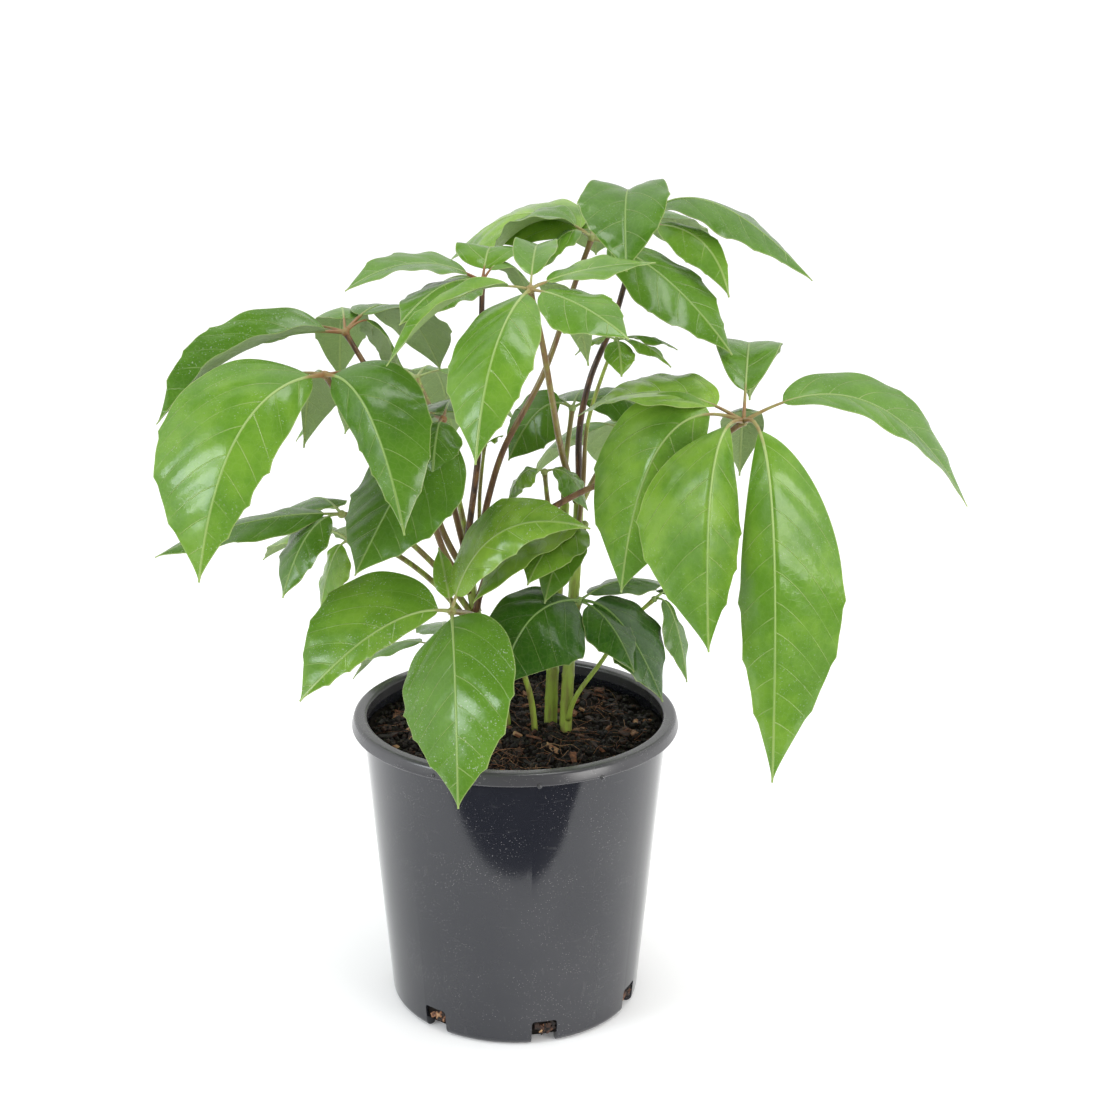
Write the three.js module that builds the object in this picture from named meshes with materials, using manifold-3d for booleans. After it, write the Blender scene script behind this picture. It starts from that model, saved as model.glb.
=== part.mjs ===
// Potted amate umbrella tree: a young Schefflera in a 200 mm black nursery pot.
// Millimetres, +Z up. The origin is the middle of the circle on which the pot stands.
// Front is -Y. Each compound leaf is one solid: its hub, its leaflet stalks and its leaflets.

import * as THREE from 'three';
import { mergeVertices } from 'three/addons/utils/BufferGeometryUtils.js';
import Module from 'manifold-3d';

const wasm = await Module();
wasm.setup();

// Driving dimensions of the pot.
const RIM_RADIUS = 100;
const RIM_TOP_RADIUS = 98;
const RIM_TOP = 186;
const RIM_LOWER_EDGE = 178.5;
const RIM_ROLL = 8;
const RIM_CROWN = 1.6;
const RIM_EDGE = 0.8;
const RIM_INNER_DROP = 6;
const BODY_TOP_RADIUS = 92.8;
const BASE_RADIUS = 77;
const BASE_FILLET = 5;
const BASE_CORNER = 0.3;
const WALL = 2;
const PLATE_BOTTOM = 3;
const PLATE_TOP = 6;
const POT_SIDES = 36;
const NOTCHES = 7;
const NOTCH_WIDTH = 15.5;
const NOTCH_HEIGHT = 16;
const NOTCH_INNER_RADIUS = 69;
const NOTCH_OUTER_RADIUS = 89;
const NOTCH_FIRST = -38.3;

// Driving dimensions of the potting mix.
const MIX_TOP = 174;
const MIX_CLEARANCE = 0.35;
const MIX_EDGE_INSET = 0.9;
const MIX_SIDES = 20;
const MIX_RINGS = 4;
const MIX_BUMP = 3.2;
const MIX_SWELL = { share: 0.55, x: 0.083, xStart: 1.1, y: 0.071, yStart: 0.4 };
const MIX_RIPPLE = { share: 0.45, x: [0.21, -0.11], y: [0.17, 0.23] };
const CHIP_COUNT = 14;
const CHIP_SEED = 7;
const CHIP_RING = [21, 79];
const CHIP_LENGTH = [7, 13];
const CHIP_WIDTH = [4, 7];
const CHIP_HEIGHT = [2.5, 4.5];
const CHIP_TILT = 0.35;
const CHIP_RISE = 0.6;
const HOLE_CLEARANCE = 0.4;
const HOLE_BOTTOM = 140;
const HOLE_HEIGHT = 80;
const HOLE_SIDES = 16;

// Driving dimensions that all leaves share.
const BLADE_THICKNESS = 0.8;
const BASE_HALF_WIDTH = 0.05;
const TIP_HALF_WIDTH = 0.6;
const TIP_SHARE = 0.96;
const TIP_POWER = 5;
const FULLNESS = 0.55;
const TOOTH = 2;
const TOOTH_BLADE = 75;
const TOOTH_RISE = 0.06;
const TOOTH_FALL = 0.025;
const TOOTH_BEND = 1.3;
const TOOTH_DEPTH = 8;
const CUP = 0.12;
const WAVE = 1.6;
const WAVE_RATE = 9.5;
const WAVE_START = { right: 0.6, left: 2.4 };
const NORMAL_STEP = { s: 0.01, u: 0.5 };
const STALK_RADIUS = 1.2;
const STALK_THICKNESS = 2.2;
const STALK_EDGE = 0.4;
const STALK_ROWS = [0, 0.5];
const HUB_RADIUS = 3;
const JOIN_GAP = 0.35;
const FINENESS = 0.05;
const STEM_SIDES = 8;
const STEM_STEPS = 5;
const PETIOLE_SIDES = 5;
const PETIOLE_STEPS = 6;
const PETIOLE_THICK = [2.1, 1.5];

const UP = new THREE.Vector3(0, 0, 1);
const radians = THREE.MathUtils.degToRad;

const colours = {
  pot: { color: 0x26272b, roughness: 0.38, metalness: 0 },
  mix: { color: 0x2e1f15, roughness: 0.95, metalness: 0 },
  stem: { color: 0x6f8f3a, roughness: 0.6, metalness: 0 },
  petiole: { color: 0x6b4a35, roughness: 0.5, metalness: 0 },
  leaf: { color: 0x4f8a33, roughness: 0.4, metalness: 0 },
};

// Closed geometry to solid and back.
function toSolid(geometry) {
  geometry.deleteAttribute('normal');
  geometry.deleteAttribute('uv');
  const merged = mergeVertices(geometry, 1e-4);
  return new wasm.Manifold(new wasm.Mesh({
    numProp: 3,
    vertProperties: Float32Array.from(merged.attributes.position.array),
    triVerts: Uint32Array.from(merged.index.array),
  }));
}

function toGeometry(solid) {
  const mesh = solid.asOriginal().simplify(FINENESS).getMesh();
  const geometry = new THREE.BufferGeometry();
  const positions = new Float32Array(mesh.numVert * 3);
  for (let i = 0; i < mesh.numVert; i += 1) {
    for (let k = 0; k < 3; k += 1) {
      positions[3 * i + k] = mesh.vertProperties[mesh.numProp * i + k];
    }
  }
  geometry.setAttribute('position', new THREE.BufferAttribute(positions, 3));
  geometry.setIndex(Array.from(mesh.triVerts));
  geometry.computeVertexNormals();
  return geometry;
}

function joined(solids) {
  return solids.reduce((whole, solid) => whole.add(solid));
}

function largestBody(solid) {
  return solid.decompose().reduce((most, body) => (body.volume() > most.volume() ? body : most));
}

// A tapered tube along a curve: a cylinder whose rings are moved to the curve's frames.
function tube(curve, startRadius, endRadius, sides, steps) {
  const geometry = new THREE.CylinderGeometry(1, 1, 1, sides, steps);
  const frames = curve.computeFrenetFrames(steps, false);
  const position = geometry.attributes.position;
  for (let i = 0; i < position.count; i += 1) {
    const along = position.getY(i) + 0.5;
    const row = Math.round(along * steps);
    const radius = THREE.MathUtils.lerp(startRadius, endRadius, along);
    const place = curve.getPointAt(along)
      .addScaledVector(frames.normals[row], position.getZ(i) * radius)
      .addScaledVector(frames.binormals[row], position.getX(i) * radius);
    position.setXYZ(i, place.x, place.y, place.z);
  }
  return toSolid(geometry);
}

function through(points) {
  return new THREE.CatmullRomCurve3(points.map((p) => new THREE.Vector3(...p)), false, 'centripetal');
}

// The pot: a turned shell with a plate raised on a skirt, cut by the drain notches.
function bodyRadius(z) {
  return THREE.MathUtils.lerp(BASE_RADIUS, BODY_TOP_RADIUS, z / RIM_LOWER_EDGE);
}

function potSolid() {
  const crown = RIM_TOP_RADIUS - RIM_ROLL / 2;
  const ring = BASE_RADIUS - BASE_FILLET;
  const corner = BASE_FILLET * BASE_CORNER;
  const profile = [
    [0, PLATE_BOTTOM],
    [ring - WALL, PLATE_BOTTOM],
    [ring - WALL, 0],
    [ring, 0],
    [BASE_RADIUS - corner, corner],
    [bodyRadius(BASE_FILLET), BASE_FILLET],
    [bodyRadius(RIM_LOWER_EDGE), RIM_LOWER_EDGE],
    [RIM_RADIUS - RIM_EDGE, RIM_LOWER_EDGE],
    [RIM_RADIUS, RIM_LOWER_EDGE + RIM_EDGE],
    [RIM_TOP_RADIUS, RIM_TOP - RIM_CROWN],
    [crown + RIM_CROWN, RIM_TOP],
    [crown - RIM_CROWN, RIM_TOP],
    [RIM_TOP_RADIUS - RIM_ROLL, RIM_TOP - WALL],
    [bodyRadius(RIM_LOWER_EDGE) - WALL, RIM_LOWER_EDGE - RIM_INNER_DROP],
    [bodyRadius(PLATE_TOP) - WALL, PLATE_TOP],
    [0, PLATE_TOP],
  ];
  const points = profile.map(([radius, z]) => new THREE.Vector2(radius, z));
  const lathe = new THREE.LatheGeometry(points, POT_SIDES);
  lathe.rotateX(Math.PI / 2);
  let solid = toSolid(lathe);
  const depth = NOTCH_OUTER_RADIUS - NOTCH_INNER_RADIUS;
  for (let i = 0; i < NOTCHES; i += 1) {
    const turn = radians(NOTCH_FIRST + (i * 360) / NOTCHES);
    const box = new THREE.BoxGeometry(NOTCH_WIDTH, depth, 2 * NOTCH_HEIGHT);
    box.translate(0, -(NOTCH_INNER_RADIUS + depth / 2), 0);
    box.rotateZ(turn);
    solid = solid.subtract(toSolid(box));
  }
  return solid;
}

// Even pseudo-random numbers from 0 to 1, the same on every run.
function draws(seed) {
  let state = seed;
  return () => {
    state = (state * 16807) % 2147483647;
    return state / 2147483647;
  };
}

// The potting mix: a turned body with a bumpy top and bark chips half sunk in it.
function mixHeight(x, y) {
  const swell = Math.sin(x * MIX_SWELL.x + MIX_SWELL.xStart) * Math.cos(y * MIX_SWELL.y + MIX_SWELL.yStart);
  const [first, second] = [0, 1].map((k) => x * MIX_RIPPLE.x[k] + y * MIX_RIPPLE.y[k]);
  const ripple = Math.sin(first) * Math.cos(second);
  return MIX_TOP + MIX_BUMP * (MIX_SWELL.share * swell + MIX_RIPPLE.share * ripple);
}

function mixSolid() {
  const lowest = PLATE_TOP + MIX_CLEARANCE;
  const inner = (z) => bodyRadius(z) - WALL - MIX_CLEARANCE - MIX_EDGE_INSET;
  const profile = [new THREE.Vector2(0, lowest), new THREE.Vector2(inner(lowest), lowest)];
  for (let i = 0; i <= MIX_RINGS; i += 1) {
    const share = Math.sin(((1 - i / MIX_RINGS) * Math.PI) / 2);
    profile.push(new THREE.Vector2(inner(MIX_TOP - MIX_BUMP) * share, MIX_TOP));
  }
  const geometry = new THREE.LatheGeometry(profile, MIX_SIDES);
  geometry.rotateX(Math.PI / 2);
  const position = geometry.attributes.position;
  for (let i = 0; i < position.count; i += 1) {
    if (position.getZ(i) > MIX_TOP - 1) {
      position.setZ(i, mixHeight(position.getX(i), position.getY(i)));
    }
  }
  let solid = toSolid(geometry);
  const draw = draws(CHIP_SEED);
  const between = ([low, high]) => THREE.MathUtils.lerp(low, high, draw());
  for (let i = 0; i < CHIP_COUNT; i += 1) {
    const radius = THREE.MathUtils.lerp(...CHIP_RING, Math.sqrt(draw()));
    const angle = 2 * Math.PI * draw();
    const x = radius * Math.cos(angle);
    const y = radius * Math.sin(angle);
    const chip = new THREE.BoxGeometry(between(CHIP_LENGTH), between(CHIP_WIDTH), between(CHIP_HEIGHT));
    chip.rotateX(between([-CHIP_TILT, CHIP_TILT]));
    chip.rotateY(between([-CHIP_TILT, CHIP_TILT]));
    chip.rotateZ(Math.PI * draw());
    chip.translate(x, y, mixHeight(x, y) + CHIP_RISE);
    solid = solid.add(toSolid(chip));
  }
  return solid;
}

// What a leaflet is like where its row in the table of leaves doesn't say. Lengths in mm, turns in
// degrees. out: how far out the midrib's bend lies, as a share of the reach. lift: its height over
// the hub. swerve: how far it lies to one side. roll: the blade's turn about its midrib. fold: how
// far both halves drop from the midrib. lean: how much wider one half is than the other. peak: the
// larger it is, the nearer to the tip is the widest place. stalk: its length. columns: facets from
// edge to edge. teeth: how many on each margin.
const USUAL = {
  out: 0.6, lift: 20, swerve: 0, roll: 0, fold: 10, lean: 0, peak: 0.88, stalk: 14, columns: 2, teeth: 1,
};

// One leaflet's midrib: a quadratic curve from the hub that starts out, arches and ends at the tip.
function midrib(hub, leaflet) {
  const tip = new THREE.Vector3(...leaflet.tip);
  const ahead = new THREE.Vector3(tip.x - hub.x, tip.y - hub.y, 0);
  const side = new THREE.Vector3(ahead.y, -ahead.x, 0).normalize();
  const bend = hub.clone()
    .addScaledVector(ahead, leaflet.out)
    .addScaledVector(UP, leaflet.lift)
    .addScaledVector(side, leaflet.swerve);
  return { curve: new THREE.QuadraticBezierCurve3(hub, bend, tip), side };
}

// Half width of a leaflet as a share of its widest, from its rounded base to its drawn-out tip.
function outline(s, peak) {
  return Math.sin(Math.PI * s ** peak) ** FULLNESS * (1 - TIP_SHARE * s ** TIP_POWER);
}

// How far the saw teeth of a wide blade stand out of the margin at s.
function teeth(s, places) {
  let most = 0;
  for (const place of places) {
    const past = s - place;
    most = Math.max(most, past <= 0 ? 1 + past / TOOTH_RISE : 1 - past / TOOTH_FALL);
  }
  return TOOTH * Math.max(0, most) ** TOOTH_BEND;
}

const TOOTH_PLACES = { 3: [0.5, 0.66, 0.81], 2: [0.52, 0.74], 1: [0.62], 0: [] };
const ROWS = {
  3: [0, 0.06, 0.18, 0.36, 0.5, 0.525, 0.66, 0.685, 0.81, 0.835, 0.93, 1],
  2: [0, 0.07, 0.22, 0.4, 0.52, 0.545, 0.74, 0.765, 1],
  1: [0, 0.1, 0.32, 0.62, 0.65, 1],
  0: [0, 0.1, 0.4, 0.75, 1],
};

// A point of a leaflet's middle surface: s runs from base to tip, u from edge to edge.
function bladePoint(rib, leaflet, start, s, u) {
  const along = start + (1 - start) * s;
  const centre = rib.curve.getPointAt(along);
  const tangent = rib.curve.getTangentAt(along);
  const level = new THREE.Vector3().crossVectors(rib.side, tangent).normalize();
  const roll = radians(leaflet.roll);
  const across = rib.side.clone().multiplyScalar(Math.cos(roll)).addScaledVector(level, -Math.sin(roll));
  const normal = level.clone().multiplyScalar(Math.cos(roll)).addScaledVector(rib.side, Math.sin(roll));
  const widest = (leaflet.width / 2) * (1 + leaflet.lean * Math.sign(u));
  const narrowest = s < 0.5 ? BASE_HALF_WIDTH : TIP_HALF_WIDTH / widest;
  const share = Math.max(outline(s, leaflet.peak), narrowest);
  const size = Math.min(1, leaflet.width / TOOTH_BLADE);
  const tooth = size * teeth(s, TOOTH_PLACES[leaflet.teeth]) * Math.abs(u) ** TOOTH_DEPTH;
  const fold = radians(leaflet.fold);
  const reach = Math.abs(u) * widest * share + tooth;
  const cup = CUP * u * u * widest * share;
  const phase = u > 0 ? WAVE_START.right : WAVE_START.left;
  const wave = WAVE * u * u * share * Math.sin(WAVE_RATE * s + phase);
  return centre
    .addScaledVector(across, Math.sign(u) * reach * Math.cos(fold))
    .addScaledVector(normal, -reach * Math.sin(fold) - cup + wave);
}

// One leaflet, from inside its hub to its tip, as one closed grid: two rows of stalk, which is as
// thick as it is wide, and then the rows of the blade. Both faces have the same diagonals.
function leafletSolid(hub, leaflet) {
  const rib = midrib(hub, leaflet);
  const start = leaflet.stalk / rib.curve.getLength();
  const { columns } = leaflet;
  const top = [];
  const bottom = [];
  const addRow = (pointAt, thickness) => {
    for (let j = 0; j <= columns; j += 1) {
      const u = (2 * j) / columns - 1;
      const { middle, normal } = pointAt(u);
      top.push(middle.clone().addScaledVector(normal, thickness(u) / 2));
      bottom.push(middle.clone().addScaledVector(normal, -thickness(u) / 2));
    }
  };
  const stalkThickness = (u) => STALK_THICKNESS * THREE.MathUtils.lerp(1, STALK_EDGE, Math.abs(u));
  for (const share of STALK_ROWS) {
    addRow((u) => stalkPoint(rib, start * share, u), stalkThickness);
  }
  for (const s of ROWS[leaflet.teeth]) {
    addRow(
      (u) => bladeSpot(rib, leaflet, start, s, u),
      (u) => (s === 0 ? stalkThickness(u) : BLADE_THICKNESS),
    );
  }
  return closedGrid(top, bottom, columns + 1);
}

// A point of a stalk's middle surface, with its normal.
function stalkPoint(rib, along, u) {
  const tangent = rib.curve.getTangentAt(along);
  const middle = rib.curve.getPointAt(along).addScaledVector(rib.side, u * STALK_RADIUS);
  return { middle, normal: new THREE.Vector3().crossVectors(rib.side, tangent).normalize() };
}

// A point of a blade's middle surface, with its normal.
function bladeSpot(rib, leaflet, start, s, u) {
  const before = bladePoint(rib, leaflet, start, Math.max(0, s - NORMAL_STEP.s), u);
  const after = bladePoint(rib, leaflet, start, Math.min(1, s + NORMAL_STEP.s), u);
  const left = bladePoint(rib, leaflet, start, s, Math.max(-1, u - NORMAL_STEP.u));
  const right = bladePoint(rib, leaflet, start, s, Math.min(1, u + NORMAL_STEP.u));
  const normal = right.sub(left).cross(after.sub(before)).normalize();
  return { middle: bladePoint(rib, leaflet, start, s, u), normal };
}

// A closed solid from two grids of points that face each other, width points to a row.
function closedGrid(top, bottom, width) {
  const half = top.length;
  const lastRow = half - width;
  const index = [];
  for (let row = 0; row < lastRow; row += width) {
    for (let a = row; a < row + width - 1; a += 1) {
      const b = a + 1;
      const c = a + width;
      const d = c + 1;
      index.push(a, b, c, b, d, c);
      index.push(half + a, half + c, half + b, half + b, half + c, half + d);
    }
  }
  const rim = [];
  for (let a = 0; a < width - 1; a += 1) rim.push(a);
  for (let a = width - 1; a < half - 1; a += width) rim.push(a);
  for (let a = half - 1; a > lastRow; a -= 1) rim.push(a);
  for (let a = lastRow; a > 0; a -= width) rim.push(a);
  rim.forEach((a, k) => {
    const b = rim[(k + 1) % rim.length];
    index.push(a, half + a, b, b, half + a, half + b);
  });
  const geometry = new THREE.BufferGeometry();
  const positions = [...top, ...bottom].flatMap((p) => [p.x, p.y, p.z]);
  geometry.setAttribute('position', new THREE.Float32BufferAttribute(positions, 3));
  geometry.setIndex(index);
  return toSolid(geometry);
}

function leafSolid(leaf) {
  const hub = new THREE.Vector3(...leaf.hub);
  const ball = new THREE.IcosahedronGeometry(HUB_RADIUS, 0);
  ball.translate(hub.x, hub.y, hub.z);
  const leaflets = leaf.leaflets.map((leaflet) => leafletSolid(hub, { ...USUAL, ...leaflet }));
  return joined([toSolid(ball), ...leaflets]);
}

// A petiole ends at a socket round its hub and starts at a socket round its stem.
function petioleSolid(leaf, stems) {
  const hub = new THREE.Vector3(...leaf.hub);
  const line = through([...leaf.petiole, leaf.hub]);
  const [low, high] = leaf.thick ?? PETIOLE_THICK;
  const steps = leaf.steps ?? PETIOLE_STEPS;
  const socket = new THREE.IcosahedronGeometry(HUB_RADIUS + 2 * JOIN_GAP, 0);
  socket.translate(hub.x, hub.y, hub.z);
  let solid = tube(line, low, high, PETIOLE_SIDES, steps).subtract(toSolid(socket));
  if (leaf.stem) {
    solid = solid.subtract(stems[leaf.stem].grown);
  }
  return largestBody(solid);
}

// The stems, from their feet in the mix to their tops.
const stemLines = {
  a: { points: [[22, 8, 141], [22, 8, 176], [24, 9, 230], [27, 10, 279], [30, 12, 316]], radii: [4.3, 2.9] },
  b: { points: [[31, -1, 141], [31, -1, 176], [34, 0, 240], [37, 2, 290], [38, 4, 328]], radii: [4.1, 2.9] },
  c: { points: [[-6, 5, 141], [-6, 5, 176], [-14, 4, 215], [-25, 2, 255], [-29, 0, 292]], radii: [3.6, 2.7] },
};

const leaves = {
  right: {
    hub: [125, -70, 383],
    stem: 'c',
    petiole: [[-24, 2, 250], [-15, -8, 280], [-2, -22, 306], [19, -42, 325], [44, -44, 339], [100, -60, 362]],
    leaflets: [
      { tip: [141, -125, 193], width: 66, lean: -0.31, peak: 1.1, out: 1.05, lift: 30, swerve: 3, roll: 25,
        fold: 30, stalk: 26, columns: 4, teeth: 3 },
      { tip: [104, -125, 269], width: 67, lean: 0.35, peak: 1.14, out: 1, lift: 22, swerve: 9, roll: -18,
        fold: 34, stalk: 22, columns: 4, teeth: 3 },
      { tip: [59, -80, 288], width: 72, lean: 0.1, out: 0.85, lift: 27, roll: -50,
        fold: 15, stalk: 20, columns: 4, teeth: 2 },
      { tip: [36, -22, 375], width: 56, out: 0.5, lift: 26, roll: -8, fold: -14, stalk: 18 },
      { tip: [144, 60, 366], width: 40, out: 0.45, lift: 72, fold: -12, stalk: 20 },
      { tip: [253, -60, 332], width: 46, lean: -0.15, peak: 0.9, out: 0.56, lift: 45,
        roll: 22, fold: -12, stalk: 24, teeth: 3 },
      { tip: [134, 15, 330], width: 26, out: 0.7, lift: 12, fold: 12, stalk: 18 },
    ],
  },
  left_high: {
    hub: [-96, -20, 423],
    stem: 'c',
    petiole: [[-28, 3, 269], [-42, -6, 300], [-55, -16, 345], [-80, -20, 395]],
    leaflets: [
      { tip: [-198, -60, 379], width: 54, lean: 0.05, peak: 0.9, out: 0.55, lift: 10, roll: -6,
        fold: -38, stalk: 12, columns: 4, teeth: 3 },
      { tip: [-45, 45, 388], width: 56, out: 0.55, lift: 34, roll: -4, fold: -5, stalk: 16 },
      { tip: [-66, 5, 388], width: 38, out: 0.7, roll: 10, stalk: 16 },
      { tip: [-109, 80, 374], width: 34, out: 0.55, lift: 30 },
      { tip: [-190, 30, 385], width: 40, out: 0.55, lift: 12 },
    ],
  },
  left_low: {
    hub: [-103, -70, 409],
    stem: 'c',
    petiole: [[-28, 1, 262], [-41, -12, 289], [-52, -15, 320], [-73, -19, 360], [-95, -52, 389]],
    leaflets: [
      { tip: [-167, -130, 310], width: 72, lean: 0.38, out: 0.8, lift: 8, swerve: -2, roll: -30,
        fold: 8, stalk: 10, columns: 4, teeth: 3 },
      { tip: [-58, -130, 336], width: 46, lean: -0.35, peak: 0.62, out: 0.63, lift: 10, roll: 45,
        fold: 20, stalk: 8, columns: 4, teeth: 3 },
      { tip: [-172, -40, 345], width: 50, out: 0.7, lift: 5, fold: 12, stalk: 12 },
      { tip: [-126, 20, 346], width: 24, lean: 0.6, out: 0.7, lift: 0, fold: 12, stalk: 12 },
      { tip: [-57, -36, 378], width: 30, lift: 5, fold: 12, stalk: 12 },
    ],
  },
  front: {
    hub: [8, -90, 459],
    stem: 'b',
    petiole: [[37, 3, 318], [28, -8, 347], [21, -35, 387], [15, -60, 424]],
    leaflets: [
      { tip: [-20, -160, 382], width: 49, lean: 0.16, peak: 0.93, out: 0.8, lift: -8,
        fold: 12, stalk: 7, columns: 4, teeth: 3 },
      { tip: [-67, -110, 422], width: 26, out: 0.51, lift: 12, fold: -30, stalk: 12 },
      { tip: [75, -70, 470], width: 28, out: 0.37, lift: 12, roll: 10, fold: -8, stalk: 10 },
      { tip: [58, -130, 440], width: 38, out: 0.5, lift: 0, roll: 20, fold: 5, stalk: 8, teeth: 2 },
      { tip: [14, -28, 470], width: 26, out: 0.5, lift: 28, fold: -20, stalk: 10 },
      { tip: [41, -40, 408], width: 22, out: 0.7, lift: 12, stalk: 10 },
    ],
  },
  centre_left: {
    hub: [-18, -40, 455],
    stem: 'c',
    petiole: [[-29, 0, 290], [-26, -8, 312], [-21, -22, 355], [-19, -34, 420]],
    leaflets: [
      { tip: [-92, -60, 453], width: 40, out: 0.5, lift: 24, roll: -8, fold: -12, stalk: 10, teeth: 2 },
      { tip: [-10, -2, 458], width: 40, out: 0.5, lift: 30, fold: -10, stalk: 8 },
      { tip: [10, -22, 440], width: 28, out: 0.5, lift: 25, fold: 5, stalk: 8 },
      { tip: [-61, -90, 440], width: 44, out: 0.5, lift: 10, fold: 5, stalk: 8 },
      { tip: [-62, -4, 416], width: 40, lift: 10, fold: 8, stalk: 8 },
    ],
  },
  top_left: {
    hub: [44, 10, 472],
    stem: 'c',
    petiole: [[-28, 2, 276], [-20, -2, 300], [-16, -4, 320], [-7, 0, 349], [17, 5, 395], [36, 10, 450]],
    leaflets: [
      { tip: [-15, 20, 457], width: 52, out: 0.5, lift: 26, fold: -20, stalk: 12, teeth: 2 },
      { tip: [-40, 80, 448], width: 54, out: 0.5, lift: 30, roll: -25, fold: 5, stalk: 10 },
      { tip: [121, -40, 414], width: 46, out: 0.5, lift: -8, swerve: -4, roll: 20,
        fold: 5, stalk: 12, columns: 4, teeth: 3 },
      { tip: [14, 0, 455], width: 28, out: 0.5, lift: 15, fold: 5, stalk: 8 },
      { tip: [50, 95, 450], width: 50, out: 0.5, lift: 25, fold: 8, stalk: 10 },
    ],
  },
  top_right: {
    hub: [72, 25, 477],
    stem: 'b',
    petiole: [[38, 5, 324], [38, 8, 360], [44, 10, 390], [58, 14, 425]],
    leaflets: [
      { tip: [60, -62, 464], width: 57, peak: 1.1, out: 0.3, lift: 53, swerve: 9, roll: 5,
        fold: -26, stalk: 24, columns: 4, teeth: 2 },
      { tip: [170, 0, 449], width: 46, out: 0.3, lift: 44, roll: 8, fold: 8, teeth: 3 },
      { tip: [121, -15, 442], width: 23, lean: 0.25, out: 0.8, lift: 10, roll: 30, fold: 8, teeth: 2 },
      { tip: [110, 110, 448], width: 50, out: 0.5, fold: 8, stalk: 12 },
    ],
  },
  new_shoot: {
    hub: [-18, 10, 350],
    stem: 'c',
    petiole: [[-27, 2, 268], [-22, 10, 290], [-21, 12, 320]],
    thick: [1.5, 1],
    steps: 5,
    leaflets: [
      { tip: [-7, 5, 357], width: 6, lift: 6, fold: 20, stalk: 4, teeth: 0 },
      { tip: [-27, 5, 357], width: 6, lift: 6, fold: 20, stalk: 4, teeth: 0 },
      { tip: [-17, 22, 356], width: 6, lift: 6, fold: 20, stalk: 4, teeth: 0 },
    ],
  },
  small_top: {
    hub: [58, -10, 417],
    stem: 'b',
    petiole: [[37, 0, 296], [40, -4, 330], [42, -5, 365], [50, -8, 395]],
    thick: [1.6, 1],
    leaflets: [
      { tip: [93, -10, 411], width: 13, out: 0.5, lift: 6, stalk: 6 },
      { tip: [88, -30, 405], width: 13, out: 0.5, lift: 4, stalk: 6 },
      { tip: [60, -32, 400], width: 18, lift: 2, fold: 5, stalk: 5 },
      { tip: [35, 5, 405], width: 16, out: 0.5, lift: 4, fold: 5, stalk: 6 },
    ],
  },
  inner: {
    hub: [34, 20, 370],
    stem: 'a',
    petiole: [[29, 11, 308], [30, 16, 335]],
    thick: [2, 1.4],
    steps: 5,
    leaflets: [
      { tip: [-4, 20, 338], width: 38, out: 0.5, lift: 14, roll: -45, stalk: 8 },
      { tip: [-2, 60, 350], width: 30, out: 0.5, lift: 14, stalk: 8 },
      { tip: [85, 28, 360], width: 30, out: 0.5, lift: 16, roll: 30, stalk: 8 },
      { tip: [50, 85, 355], width: 32, out: 0.5, lift: 16, stalk: 8 },
    ],
  },
  round: {
    hub: [17, -22, 342],
    stem: 'a',
    petiole: [[27, 9, 290], [20, -8, 316]],
    thick: [1.8, 1.3],
    steps: 4,
    leaflets: [
      { tip: [42, -26, 320], width: 30, lift: 8, roll: 10, fold: 5, stalk: 5 },
      { tip: [-4, -26, 326], width: 30, lift: 8, fold: 5, stalk: 5 },
    ],
  },
  low_front: {
    hub: [-36, -60, 270],
    petiole: [[12, -5, 141], [12, -5, 176], [7, -8, 207], [-8, -14, 240], [-24, -32, 258]],
    thick: [2, 1.6],
    leaflets: [
      { tip: [-122, -80, 223], width: 52, lean: 0.6, out: 0.41, lift: 10, roll: -45,
        fold: 5, stalk: 8, columns: 4, teeth: 3 },
      { tip: [-31, -135, 182], width: 74, lean: 0.08, peak: 0.76, out: 0.8, lift: -12, roll: 32,
        fold: 5, stalk: 7, columns: 4, teeth: 3 },
      { tip: [42, -70, 322], width: 40, lean: -0.24, peak: 0.78, out: 0.2, lift: 69, roll: 40,
        fold: 5, stalk: 10, columns: 4, teeth: 2 },
      { tip: [-44, -34, 300], width: 14, out: 0.4, lift: 16, stalk: 8, teeth: 0 },
    ],
  },
  low_right: {
    hub: [38, -20, 263],
    stem: 'b',
    petiole: [[33, -1, 222], [35, -8, 240]],
    thick: [1.8, 1.5],
    steps: 4,
    leaflets: [
      { tip: [-9, -70, 226], width: 62, lean: -0.2, out: 0.75, lift: 16,
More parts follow.
